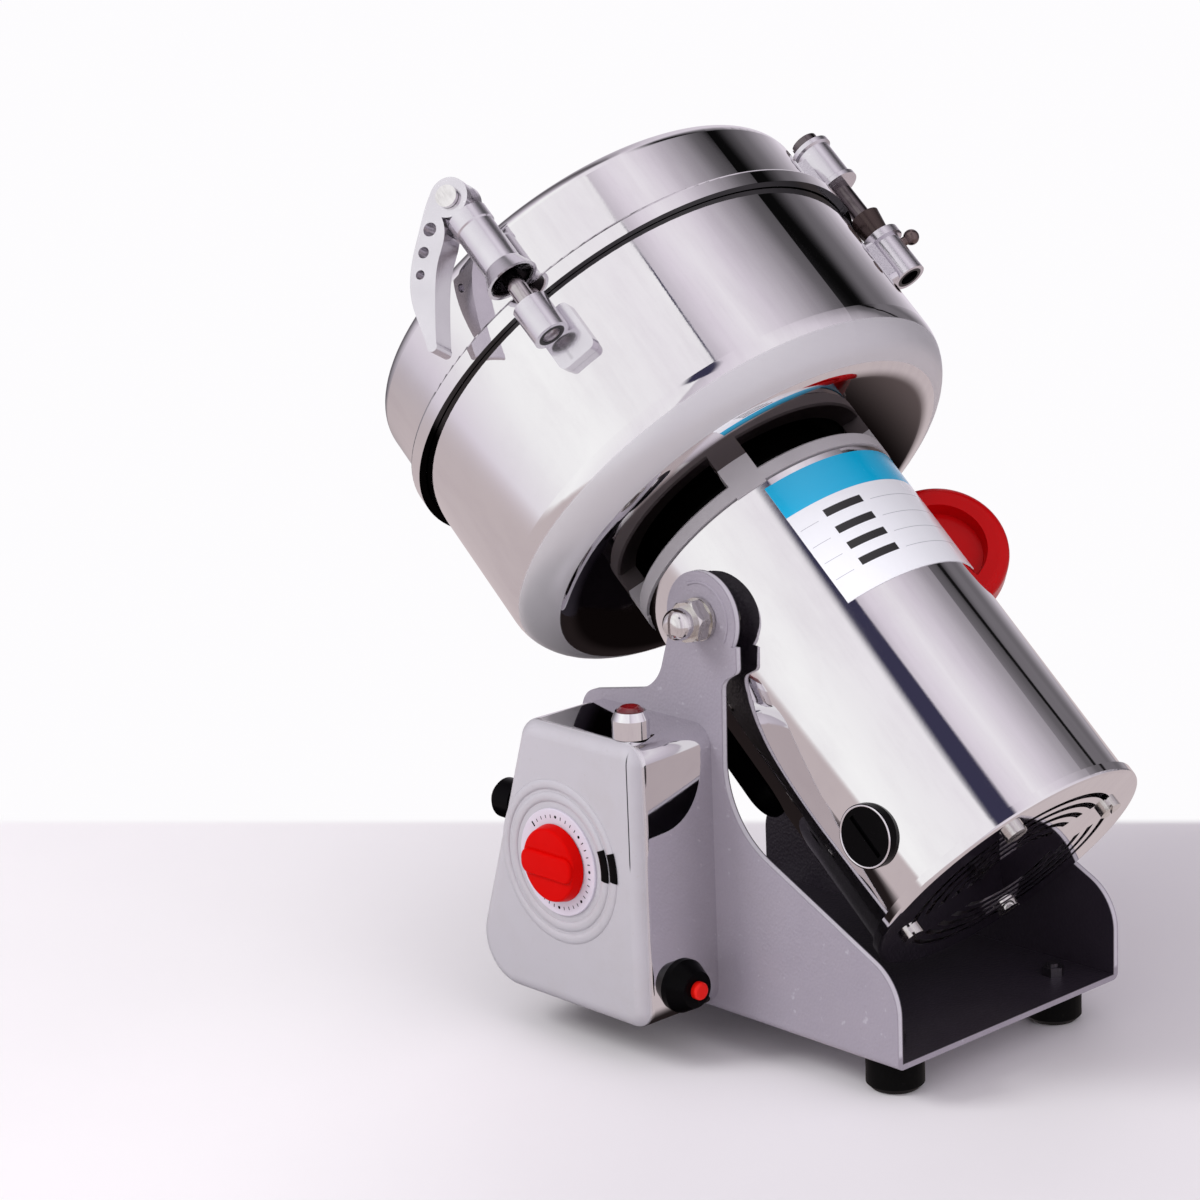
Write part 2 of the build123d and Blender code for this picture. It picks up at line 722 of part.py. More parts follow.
handle_reach = tube_r + handle_out
with BuildPart() as handle:
    with BuildSketch(through(handle_angle)):
        with BuildLine():
            outer = ThreePointArc((tube_r - 5, handle_top), (handle_reach, handle_mid), (tube_r - 5, handle_bottom))
            Line(outer @ 1, outer @ 0)
        make_face()
    extrude(amount=handle_width / 2, both=True)
    fillet(handle.edges().filter_by(GeomType.CIRCLE), 4.6)
    # a finger hollow in each face, with a web between them
    for way in (1, -1):
        with BuildSketch(through(handle_angle).offset(way * handle_web / 2)):
            with BuildLine():
                inner = ThreePointArc((tube_r - 5, handle_top - handle_grip),
                                      (handle_reach - handle_grip, handle_mid),
                                      (tube_r - 5, handle_bottom + handle_grip))
                Line(inner @ 1, inner @ 0)
            make_face()
        extrude(amount=way * handle_width, taper=-12, mode=Mode.SUBTRACT)
    disc(motor_axis, handle_bottom - 5, handle_top + 5, tube_r + seat, mode=Mode.SUBTRACT)
    for height in handle_screw_heights:
        disc(facing(handle_angle, 0, height), 50, tube_r + 8, 2.0, mode=Mode.SUBTRACT)
save(handle, "handle")

with BuildPart() as handle_screws:
    for height in handle_screw_heights:
        screw_place = facing(handle_angle, 0, height)
        disc(screw_place, tube_bore - 3.5, tube_r + 7, 2.0 - seat)
        disc(screw_place, tube_bore - 3.5, tube_bore - 0.5, 4.2)
save(handle_screws, "handle_screws")

with BuildPart() as boot:
    with BuildSketch(facing(boot_angle, tube_r - 6, (boot_top + boot_bottom) / 2)):
        with Locations((0, 2)):
            SlotOverall(boot_top - boot_bottom + 4, boot_width, rotation=90)
        with Locations((0, 9)):
            Rectangle(boot_width, boot_top - boot_bottom - 18)
    extrude(amount=6 + boot_out)
    fillet(boot.faces().sort_by(Axis(motor_axis.origin, directions(boot_angle)[0]))[-1].edges(), 4)
    disc(motor_axis, boot_bottom - 5, boot_top + 10, tube_r + seat, mode=Mode.SUBTRACT)
    disc(facing(boot_angle, 0, cable_height), 40, tube_r + 4, 4.5, mode=Mode.SUBTRACT)
save(boot, "lead_boot")

# ---- grinding bowl and blades ----

with BuildPart() as bowl:
    turned([(14, bowl_bottom), (bowl_r, bowl_bottom), (bowl_r, bowl_top), (bowl_r - bowl_wall, bowl_top),
            (bowl_r - bowl_wall, bowl_bottom + bowl_wall), (14, bowl_bottom + bowl_wall)],
           [((bowl_r, bowl_bottom), shoulder_r),
            ((bowl_r - bowl_wall, bowl_bottom + bowl_wall), shoulder_r - bowl_wall)])
    with BuildSketch(motor_axis.offset(bowl_bottom)):
        with PolarLocations(ring_r - post_depth / 2, 4, post_angle):
            Circle(2 + seat)
    extrude(amount=bowl_wall, mode=Mode.SUBTRACT)
save(bowl, "bowl")

with BuildPart() as bowl_screws:
    with BuildSketch(motor_axis.offset(bowl_floor)):
        with PolarLocations(ring_r - post_depth / 2, 4, post_angle):
            Circle(4)
    extrude(amount=2.2)
    with BuildSketch(motor_axis.offset(bowl_floor)):
        with PolarLocations(ring_r - post_depth / 2, 4, post_angle):
            Circle(2 - seat)
    extrude(amount=-11)
save(bowl_screws, "bowl_screws")

with BuildPart() as shaft_seal:
    turned([(shaft_r + running, ring_top + 1), (shaft_r + 8 - seat, ring_top + 1), (14 - seat, bowl_floor),
            (18, bowl_floor), (18, bowl_floor + 1.4), (11, bowl_floor + 3), (shaft_r + running, bowl_floor + 3)])
save(shaft_seal, "shaft_seal")

hub_bottom = bowl_floor + 3 + gap
with BuildPart() as hub:
    turned([(shaft_r + seat, hub_bottom), (hub_r - 1.5, hub_bottom), (hub_r, hub_bottom + 1.5),
            (hub_r, lower_blade_h - 1.5), (hub_r - 1.5, lower_blade_h), (thread_r + seat, lower_blade_h),
            (thread_r + seat, thread_low), (shaft_r + seat, thread_low)])
save(hub, "blade_hub")


def blade(reach, turn, height):
    """A flat two-ended blade with slanted tips, turned round the motor axis."""
    across = Plane(origin=motor_axis.origin + up * height, x_dir=directions(turn)[0], z_dir=up)
    with BuildSketch(across) as outline:
        with BuildLine():
            Polyline((-reach, -blade_width / 2), (reach - 10, -blade_width / 2), (reach, blade_width / 2),
                     (10 - reach, blade_width / 2), close=True)
        make_face()
        Circle(thread_r + seat, mode=Mode.SUBTRACT)
    extrude(outline.sketch, amount=blade_t)


with BuildPart() as blades:
    blade(lower_blade_r, 35, lower_blade_h)
    blade(upper_blade_r, 125, upper_blade_h)
save(blades, "blades")

with BuildPart() as spacer:
    disc(motor_axis, lower_blade_h + blade_t, upper_blade_h, 10, thread_r + seat)
save(spacer, "blade_spacer")

nut_top = blade_nut_h + blade_nut_t
with BuildPart() as blade_nut:
    # closed nut with a coned crown
    turned([(0, thread_top + 1), (0, nut_top), (3.5, nut_top), (7.6, nut_top - 2.4), (9, nut_top - 6),
            (9, blade_nut_h), (thread_r + seat, blade_nut_h), (thread_r + seat, thread_top + 1)])
    with BuildSketch(motor_axis.offset(blade_nut_h)):
        RegularPolygon(9.6, 6)
    extrude(amount=blade_nut_t + 5, mode=Mode.INTERSECT)
save(blade_nut, "blade_nut")

# ---- lid ----

with BuildPart() as lid:
    shelf = band_top - lid_wall
    inside_r = lid_r - lid_wall
    ceiling = lid_top - lid_wall
    slant = lid_round - lid_wall
    turned([(0, ceiling), (0, lid_top), (lid_r, lid_top), (lid_r, band_top), (band_r, band_top),
            (band_r, band_bottom), (bowl_r + 0.5, band_bottom), (bowl_r + 0.5, shelf), (inside_r, shelf),
            (inside_r, ceiling - slant), (inside_r - slant, ceiling)],
           [((lid_r, lid_top), lid_round), ((band_r, band_top), 1.4)])
save(lid, "lid")

with BuildPart() as lid_seal:
    disc(motor_axis, bowl_top + 0.2, shelf, bowl_r + 0.5 - seat, inside_r + 0.2)
save(lid_seal, "lid_seal")

# ---- clamp with the lever ----

lug_place = standing(clamp_angle, clamp_r)
with BuildPart() as clamp_lug:
    with BuildSketch(facing(clamp_angle, bowl_r - 3, lug_bottom - 0.5)):
        with Locations((2.5, 0)):
            RectangleRounded(17, 23, 3)
    extrude(amount=clamp_r - lug_r - bowl_r + 4.8)
    disc(lug_place, lug_bottom, lug_top, lug_r)
    disc(motor_axis, lug_bottom - 15, lug_top + 1, bowl_r + seat, mode=Mode.SUBTRACT)
    disc(lug_place, lug_bottom, lug_top, rod_r + 0.15, mode=Mode.SUBTRACT)
save(clamp_lug, "clamp_lug")

with BuildPart() as clamp_barrel:
    skirt = barrel_bottom - 7
    turned([(rod_r + running, skirt + 4), (barrel_r + 1.6, skirt), (barrel_r + 3, skirt), (barrel_r, barrel_bottom),
            (barrel_r, barrel_top - 7), (barrel_r + 0.6, barrel_top - 6.4), (barrel_r + 0.6, barrel_top),
            (rod_r + running, barrel_top)], plane=lug_place)
    with BuildSketch(facing(clamp_angle, lid_r - 3, (barrel_bottom + barrel_top) / 2 - 3.5)):
        Rectangle(11, 19)
    extrude(amount=clamp_r - barrel_r - lid_r + 5)
    disc(motor_axis, band_top, lid_top + 1, lid_r + seat, mode=Mode.SUBTRACT)
    disc(lug_place, skirt, barrel_top, rod_r + running, mode=Mode.SUBTRACT)
save(clamp_barrel, "clamp_barrel")

with BuildPart() as clamp_rod:
    disc(lug_place, lug_bottom + 2, barrel_top, rod_r)
    chamfer(clamp_rod.edges().group_by(Axis(motor_axis.origin, up))[0], 1)
    eye_place = facing(clamp_angle, clamp_r - eye_half, lever_pin_h)
    with BuildSketch(eye_place):
        with Locations((0, (barrel_top - lever_pin_h) / 2)):
            Rectangle(2 * rod_r - 0.6, lever_pin_h - barrel_top)
        Circle(6)
        Circle(pin_r + seat, mode=Mode.SUBTRACT)
    extrude(amount=2 * eye_half)
save(clamp_rod, "clamp_rod")

with BuildPart() as lever_pin:
    disc(facing(clamp_angle, clamp_r, lever_pin_h), -lever_half - 1.2, lever_half + 1.6, pin_r)
    disc(facing(clamp_angle, clamp_r, lever_pin_h), lever_half + gap, lever_half + 2.2, 4.5)
save(lever_pin, "lever_pin")

# the lever's outline, counted from its pin
lever_outer = [(-3.2, 7.5), (-10.8, 2.7), (-17.4, -2.7), (-25.4, -9.5), (-32, -16.9), (-36.2, -24.5),
               (-39.2, -35.5), (-41.8, -44.5)]
lever_inner = [(-37.4, -44.5), (-34.6, -40), (-31.7, -35.6), (-25, -26), (-17.4, -17.7), (-10.6, -12.1),
               (-7.4, -6.9)]
lever_tip = ((lever_outer[-1][0] + lever_inner[0][0]) / 2, lever_outer[-1][1] - 2)
lever_holes = [((-13.4, -5.3), 2.8), ((-20.8, -11.1), 2.3), ((-27.0, -17.5), 1.9)]
with BuildPart() as lever:
    lever_place = facing(clamp_angle, clamp_r - lever_half, lever_pin_h)
    with BuildSketch(lever_place):
        with BuildLine():
            back = Spline(*lever_outer)
            front = Spline(*lever_inner)
            ThreePointArc(back @ 1, lever_tip, front @ 0)
            Line(front @ 1, back @ 0)
        make_face()
        Circle(lever_ear_r)
    extrude(amount=2 * lever_half)
    with BuildSketch(lever_place):
        for spot, radius in lever_holes:
            with Locations(spot):
                Circle(radius)
        Circle(pin_r + running)
    extrude(amount=2 * lever_half, mode=Mode.SUBTRACT)
    # the fork straddles the eye of the rod
    with BuildSketch(lever_place.offset(lever_half - eye_half - gap)):
        Rectangle(19, 26)
    extrude(amount=2 * (eye_half + gap), mode=Mode.SUBTRACT)
save(lever, "clamp_lever")

# ---- plain post on the opposite side ----

post_place = standing(post_side_angle, post_side_r)
post_rim = post_lug_top + 2.5
set_screw_h = post_lug_top - 4.5
with BuildPart() as post_lug:
    with BuildSketch(facing(post_side_angle, bowl_r - 3, post_low + 11)):
        RectangleRounded(14, 22, 3)
    extrude(amount=post_side_r - post_lug_r - bowl_r + 5.1)
    disc(post_place, post_low, post_lug_top, post_lug_r)
    disc(post_place, post_lug_top - 1, post_rim, post_lug_r + 1.8)
    disc(motor_axis, post_low - 5, post_rim + 5, bowl_r + seat, mode=Mode.SUBTRACT)
    disc(post_place, post_low, post_rim, post_r + 0.15, mode=Mode.SUBTRACT)
    disc(facing(post_side_angle, post_side_r, set_screw_h), 0, 12, 2 + seat, mode=Mode.SUBTRACT)
save(post_lug, "post_lug")

with BuildPart() as set_screw:
    screw_place = facing(post_side_angle, post_side_r, set_screw_h)
    disc(screw_place, post_r + gap, post_lug_r + 2.8, 2)
    with Locations(screw_place.offset(post_lug_r + 4.2)):
        Sphere(3.4)
save(set_screw, "set_screw")

with BuildPart() as post_collar:
    turned([(post_r + seat, post_rim + 0.5), (post_r + 1.4, post_rim + 0.5), (post_r + 3.2, post_rim + 11.5),
            (post_r + seat, post_rim + 11.5)], plane=post_place)
save(post_collar, "post_collar")

with BuildPart() as post_barrel:
    waist = barrel_r - 0.2
    turned([(post_r + seat, post_top - 22), (waist + 1.2, post_top - 22), (waist + 1.2, post_top - 20),
            (waist, post_top - 19.2), (waist, post_top - 2.8), (waist + 1.2, post_top - 2), (waist + 1.2, post_top),
            (post_r + seat, post_top)], plane=post_place)
    with BuildSketch(facing(post_side_angle, lid_r - 3, post_top - 13)):
        Rectangle(11, 16)
    extrude(amount=post_side_r - barrel_r - lid_r + 5.7)
    disc(motor_axis, post_top - 30, post_top + 5, lid_r + seat, mode=Mode.SUBTRACT)
    disc(post_place, post_top - 22, post_top, post_r + seat, mode=Mode.SUBTRACT)
save(post_barrel, "post_barrel")

with BuildPart() as lid_post:
    disc(post_place, post_low + 2, post_top, post_r)
    chamfer(lid_post.edges().group_by(Axis(motor_axis.origin, up))[0], 1)
    disc(post_place, post_top, post_top + 4.5, post_r + 2)
    with BuildSketch(post_place.offset(post_top + 2)):
        Rectangle(1.8, 14)
    extrude(amount=5, mode=Mode.SUBTRACT)
save(lid_post, "lid_post")
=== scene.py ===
import json
import math

import bmesh
import bpy
from mathutils import Matrix, Vector


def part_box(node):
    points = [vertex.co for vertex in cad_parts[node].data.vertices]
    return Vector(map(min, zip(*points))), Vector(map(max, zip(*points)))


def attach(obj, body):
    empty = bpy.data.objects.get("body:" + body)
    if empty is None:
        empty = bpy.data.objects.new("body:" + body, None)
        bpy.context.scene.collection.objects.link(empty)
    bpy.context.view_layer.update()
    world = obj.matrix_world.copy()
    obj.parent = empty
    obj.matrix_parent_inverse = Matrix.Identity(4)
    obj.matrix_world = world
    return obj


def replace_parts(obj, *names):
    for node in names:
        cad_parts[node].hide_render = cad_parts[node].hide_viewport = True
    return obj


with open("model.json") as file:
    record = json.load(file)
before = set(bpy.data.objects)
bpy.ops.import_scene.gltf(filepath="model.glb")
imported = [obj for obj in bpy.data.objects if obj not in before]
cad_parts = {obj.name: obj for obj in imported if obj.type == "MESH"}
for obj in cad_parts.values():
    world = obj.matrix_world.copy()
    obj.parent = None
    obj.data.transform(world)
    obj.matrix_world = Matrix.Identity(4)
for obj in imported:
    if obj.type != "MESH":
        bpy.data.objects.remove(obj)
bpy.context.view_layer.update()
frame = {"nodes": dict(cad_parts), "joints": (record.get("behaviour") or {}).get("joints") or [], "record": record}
nodes = frame["nodes"]
joints = {joint["name"]: joint for joint in frame["joints"]}
mm = 0.001
print("frame loaded:", len(nodes), "nodes")

# the head's own axes: its origin on the motor axis, lean towards the front, up towards the lid
tiltPoint = Vector(joints["head_tilt"]["pos_m"])
axisPoint = Vector(joints["spindle_spin"]["pos_m"])
headUp = Vector(joints["spindle_spin"]["axis"]).normalized()
headLean = Vector((0, 1, 0)).cross(headUp).normalized()
headMatrix = Matrix.Translation(axisPoint) @ Matrix((headLean, (0, 1, 0), headUp)).transposed().to_4x4()


# a place on the motor's rim that faces away from the axis: x along the rim, y up the axis
def facing(angle, radius, height):
    turn = Matrix.Rotation(math.radians(angle), 4, "Z")
    out = Matrix(((0, 0, 1), (1, 0, 0), (0, 1, 0))).to_4x4()
    return headMatrix @ turn @ Matrix.Translation((radius, 0, height)) @ out


# the front of the switch box: x to the right, y up, z out of the box
dialMatrix = Matrix.Translation(Vector(joints["timer_turn"]["pos_m"])) @ Matrix.Rotation(math.pi / 2, 4, "X")
boxFront = joints["timer_turn"]["pos_m"][1]
sheetThick = 2.5 * mm
wallLow, wallHigh = (corner[1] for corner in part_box("base_frame"))
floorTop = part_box("base_frame")[0][2] + sheetThick


# values that are sockets are linked, the rest are set
def fill(tree, node, values):
    for key, value in values.items():
        socket = node.inputs[key]
        if isinstance(value, bpy.types.NodeSocket):
            tree.links.new(value, socket)
        else:
            socket.default_value = (*value, 1) if socket.type == "RGBA" else value


def add(tree, kind, values=None, **settings):
    node = tree.nodes.new("ShaderNode" + kind)
    for key, value in settings.items():
        setattr(node, key, value)
    fill(tree, node, values or {})
    return node


def maths(tree, operation, *values, clamp=False):
    node = add(tree, "Math", dict(enumerate(values)), operation=operation, use_clamp=clamp)
    return node.outputs[0]


# rises softly from start to end while the value goes from low to high
def ease(tree, value, low, high, start=0.0, end=1.0):
    values = {"Value": value, "From Min": low, "From Max": high, "To Min": start, "To Max": end}
    return add(tree, "MapRange", values, interpolation_type="SMOOTHSTEP").outputs["Result"]


# one where the value lies between low and high
def between(tree, value, low, high, soft):
    rise = ease(tree, value, low - soft, low + soft)
    fall = ease(tree, value, high - soft, high + soft, 1, 0)
    return maths(tree, "MULTIPLY", rise, fall)


def blendColours(tree, mask, first, second, way="MIX"):
    node = add(tree, "Mix", {0: mask, 6: first, 7: second}, data_type="RGBA", blend_type=way)
    return node.outputs[2]


def noise(tree, place, scale, detail=3.0, rough=0.55):
    node = add(tree, "TexNoise", {"Vector": place, "Scale": scale, "Detail": detail, "Roughness": rough})
    return node.outputs["Fac"]


def coords(tree):
    return add(tree, "TexCoord").outputs["Object"]


# how far a point lies along a direction, counted from an origin
def along(tree, place, direction, origin=(0, 0, 0)):
    shift = add(tree, "VectorMath", {0: place, 1: tuple(origin)}, operation="SUBTRACT")
    dot = add(tree, "VectorMath", {0: shift.outputs[0], 1: tuple(direction)}, operation="DOT_PRODUCT")
    return dot.outputs["Value"]


def newGroup(name, inputs, outputs):
    group = bpy.data.node_groups.new(name, "ShaderNodeTree")
    kinds = {"value": "NodeSocketFloat", "colour": "NodeSocketColor", "vector": "NodeSocketVector"}
    for label, kind, default in inputs:
        socket = group.interface.new_socket(label, in_out="INPUT", socket_type=kinds[kind])
        if default is not None:
            socket.default_value = default
    for label, kind in outputs:
        group.interface.new_socket(label, in_out="OUTPUT", socket_type=kinds[kind])
    return group, group.nodes.new("NodeGroupInput"), group.nodes.new("NodeGroupOutput")


def place(tree, group, values):
    node = tree.nodes.new("ShaderNodeGroup")
    node.node_tree = group
    fill(tree, node, values)
    return node.outputs


# wipe marks, finger smears and hairline scratches that polished metal carries
def buildSmears():
    group, start, end = newGroup(
        "smears",
        [("Vector", "vector", None), ("Scale", "value", 18), ("Low", "value", 0.03), ("High", "value", 0.14)],
        [("Roughness", "value"), ("Height", "value"), ("Mask", "value")])
    spot, scale = start.outputs["Vector"], start.outputs["Scale"]
    broad = noise(group, spot, scale, 5, 0.62)
    streaks = add(group, "Mapping", {"Vector": spot, "Rotation": (0.4, 0.9, 0.3), "Scale": (1, 9, 1)})
    wiped = noise(group, streaks.outputs["Vector"], maths(group, "MULTIPLY", scale, 2.2), 4, 0.6)
    both = maths(group, "MULTIPLY_ADD", wiped, 0.45, maths(group, "MULTIPLY", broad, 0.6))
    mask = ease(group, both, 0.42, 0.72)
    low, high = start.outputs["Low"], start.outputs["High"]
    spread = maths(group, "SUBTRACT", high, low)
    fill(group, end, {"Roughness": maths(group, "MULTIPLY_ADD", mask, spread, low),
                      "Height": noise(group, spot, 900, 2), "Mask": mask})
    return group


# the close-set grains of textured paint and cast metal
def buildGrain():
    group, start, end = newGroup(
        "grain",
        [("Vector", "vector", None), ("Scale", "value", 700), ("Uneven", "value", 0.5)],
        [("Height", "value"), ("Mask", "value"), ("Pits", "value")])
    spot = start.outputs["Vector"]
    cells = add(group, "TexVoronoi", {"Vector": spot, "Scale": start.outputs["Scale"], "Smoothness": 0.6},
                feature="SMOOTH_F1")
    clouds = noise(group, spot, 60, 4)
    height = add(group, "Mix", {0: start.outputs["Uneven"], 2: cells.outputs["Distance"], 3: clouds},
                 data_type="FLOAT")
    coarse = maths(group, "MULTIPLY", start.outputs["Scale"], 0.35)
    pits = ease(group, noise(group, spot, coarse, 2), 0.66, 0.78)
    fill(group, end, {"Height": height.outputs[0], "Mask": clouds, "Pits": pits})
    return group


# dust and handling dirt, thicker where the broad clouds are
def buildDust():
    group, start, end = newGroup(
        "dust",
        [("Vector", "vector", None), ("Scale", "value", 40), ("Amount", "value", 0.3)],
        [("Mask", "value")])
    spot, scale = start.outputs["Vector"], start.outputs["Scale"]
    clouds = ease(group, noise(group, spot, scale, 6, 0.7), 0.45, 0.8)
    specks = ease(group, noise(group, spot, maths(group, "MULTIPLY", scale, 18), 1), 0.68, 0.76)
    both = maths(group, "MULTIPLY_ADD", specks, 0.6, clouds, clamp=True)
    fill(group, end, {"Mask": maths(group, "MULTIPLY", both, start.outputs["Amount"])})
    return group


smears = buildSmears()
grain = buildGrain()
dust = buildDust()


def newMaterial(name, constants):
    material = bpy.data.materials.new(name)
    material.use_nodes = True
    tree = material.node_tree
    shader = tree.nodes["Principled BSDF"]
    fill(tree, shader, constants)
    return material, tree, shader, coords(tree)


def addBump(tree, shader, height, strength, distance):
    bump = add(tree, "Bump", {"Strength": strength, "Distance": distance, "Height": height})
    fill(tree, shader, {"Normal": bump.outputs["Normal"]})


# how far a point lies from a line that runs up the head at an angle and a radius in mm
def fromStand(tree, spot, angle, radius):
    turn = math.radians(angle)
    lean = along(tree, spot, headLean, axisPoint + headLean * radius * math.cos(turn) * mm)
    side = along(tree, spot, (0, 1, 0), axisPoint + Vector((0, radius * math.sin(turn) * mm, 0)))
    flat = add(tree, "CombineXYZ", {0: lean, 1: side})
    return add(tree, "VectorMath", {0: flat.outputs[0]}, operation="LENGTH").outputs["Value"]


# one near such a line, by default the head's own axis, fading out over the last part of a reach in mm
def withinReach(tree, spot, reach, fade, stand=(0, 0)):
    return ease(tree, fromStand(tree, spot, *stand), (reach - fade) * mm, reach * mm, 1, 0)


# one between two heights in mm up the head
def withinHeights(tree, spot, low, high, soft):
    return between(tree, along(tree, spot, headUp, axisPoint), low * mm, high * mm, soft * mm)


# mirror-bright metal: look holds its colour, the shade in its smears and the range of its roughness.
# Some metal also has a gap, a black band between two heights: the joint under the lid's band with its painted
# shadow. Some has a floor and an inside, which are a painted dark reflection on the underside and a satin
# chamber, each within two heights and a radius
def polishedMetal(name, look):
    material, tree, shader, spot = newMaterial(name, {"Metallic": 1})
    marks = place(tree, smears, {
        "Vector": spot, "Scale": look["scale"], "Low": look["low"], "High": look["high"]})
    colour = blendColours(tree, marks["Mask"], look["colour"], look["shade"])
    if "gap" in look:
        # painted shadow: a black band at the joint under the lid's band
        gap = withinHeights(tree, spot, *look["gap"], 0.08)
        colour = blendColours(tree, gap, colour, look["gapPaintedShadow"])
    if "floor" in look:
        # painted reflection: the bowl's underside darkened near its foot
        low, high, reach = look["floor"]
        near = withinReach(tree, spot, reach, look["floorFade"])
        floor = maths(tree, "MULTIPLY", withinHeights(tree, spot, low, high, 0.2), near)
        colour = blendColours(tree, floor, colour, look["floorPaintedReflection"])
    rough = marks["Roughness"]
    if "inside" in look:
        low, high, reach = look["inside"]
        near = withinReach(tree, spot, reach, 0.2)
        satin = maths(tree, "MULTIPLY", withinHeights(tree, spot, low, high, 0.1), near)
        rough = maths(tree, "MULTIPLY_ADD", satin, look["insideRough"], rough)
        fill(tree, shader, {"Metallic": maths(tree, "MULTIPLY_ADD", satin, look["insideMetal"] - 1, 1.0)})
        colour = blendColours(tree, satin, colour, look["insideShade"])
    fill(tree, shader, {"Roughness": rough, "Base Color": colour})
    addBump(tree, shader, marks["Height"], look.get("bump", 0.02), 0.2 * mm)
    return material


# grained surface: look holds two colours, its grains' size and depth, and how dusty it is.
# Some castings also carry painted shade within the radius of a hollow, or in wells round each of their
# stands, a well being two heights and a reach
def grainyFinish(name, look):
    material, tree, shader, spot = newMaterial(name, {
        "Metallic": look.get("metallic", 0), "Specular IOR Level": look.get("shine", 0.5)})
    body = place(tree, grain, {"Vector": spot, "Scale": look["scale"], "Uneven": 0.35})
    dirt = place(tree, dust, {"Vector": spot, "Amount": look.get("dust", 0.1)})
    colour = blendColours(tree, body["Mask"], look["shade"], look["colour"])
    colour = blendColours(tree, dirt["Mask"], colour, (0.42, 0.39, 0.36))
    if "hollow" in look:
        # painted shade within the radius of the hollow
        colour = blendColours(tree, withinReach(tree, spot, look["hollow"], 0.1), colour, look["dark"])
    for stand in look.get("stands", ()):
        # painted shade in the wells round each stand
        for low, high, reach in look["shadedWells"]:
            near = withinReach(tree, spot, reach, 0.4, stand)
            wellShade = maths(tree, "MULTIPLY", near, withinHeights(tree, spot, low, high, 0.1))
            colour = blendColours(tree, wellShade, colour, look["dark"])
    rough = maths(tree, "MULTIPLY_ADD", dirt["Mask"], 0.4, look["roughness"], clamp=True)
    fill(tree, shader, {"Base Color": colour, "Roughness": rough})
    addBump(tree, shader, body["Height"], look["depth"], look.get("reach", 0.1) * mm)
    return material


# pebbled light paint outside, painted shade inside the trough, and paler colour along the cut edges of the sheet
def makeBasePaint():
    # inside is the colour of the painted shade in the trough
    look = {"paint": (0.342, 0.312, 0.366), "shade": (0.288, 0.262, 0.312), "fleck": (0.60, 0.58, 0.64),
            "inside": (0.020, 0.015, 0.024), "edge": (0.66, 0.64, 0.69), "dirt": (0.22, 0.19, 0.20),
            "edgeSpan": (2.4, 0.5), "grains": 760, "depth": 0.55, "roughness": 0.40}
    material, tree, shader, spot = newMaterial("basePaint", {"Coat Weight": 0.15, "Coat Roughness": 0.3})
    body = place(tree, grain, {"Vector": spot, "Scale": look["grains"], "Uneven": 0.25})
    dirt = place(tree, dust, {"Vector": spot, "Scale": 30, "Amount": 0.16})
    paint = blendColours(tree, body["Mask"], look["shade"], look["paint"])
    paint = blendColours(tree, maths(tree, "MULTIPLY", body["Pits"], 0.35), paint, look["fleck"])
    paint = blendColours(tree, dirt["Mask"], paint, look["dirt"])
    across = add(tree, "SeparateXYZ", {0: spot}).outputs
    middle, half = (wallLow + wallHigh) / 2, (wallHigh - wallLow) / 2
    side = maths(tree, "ABSOLUTE", maths(tree, "SUBTRACT", across["Y"], middle))
    # painted shade: the inside of the trough, above its floor, darkened
    inner = ease(tree, side, half - sheetThick - 0.2 * mm, half - sheetThick, 1, 0)
    above = ease(tree, across["Z"], floorTop - 0.3 * mm, floorTop - 0.2 * mm)
    troughShade = maths(tree, "MULTIPLY", inner, above)
    # paler colour along the cut edges of the sheet, above the floor
    deep, shallow = look["edgeSpan"]
    edges = between(tree, side, half - deep * mm, half - shallow * mm, 0.3 * mm)
    edges = maths(tree, "MULTIPLY", edges, ease(tree, across["Z"], floorTop + 2 * mm, floorTop + 4 * mm))
    # painted shade inside the trough
    colour = blendColours(tree, troughShade, paint, look["inside"])
    colour = blendColours(tree, maths(tree, "MULTIPLY", edges, 0.75), colour, look["edge"])
    rough = maths(tree, "MULTIPLY_ADD", dirt["Mask"], 0.5, look["roughness"], clamp=True)
    fill(tree, shader, {"Base Color": colour, "Roughness": rough})
    addBump(tree, shader, body["Height"], look["depth"], 0.35 * mm)
    return material


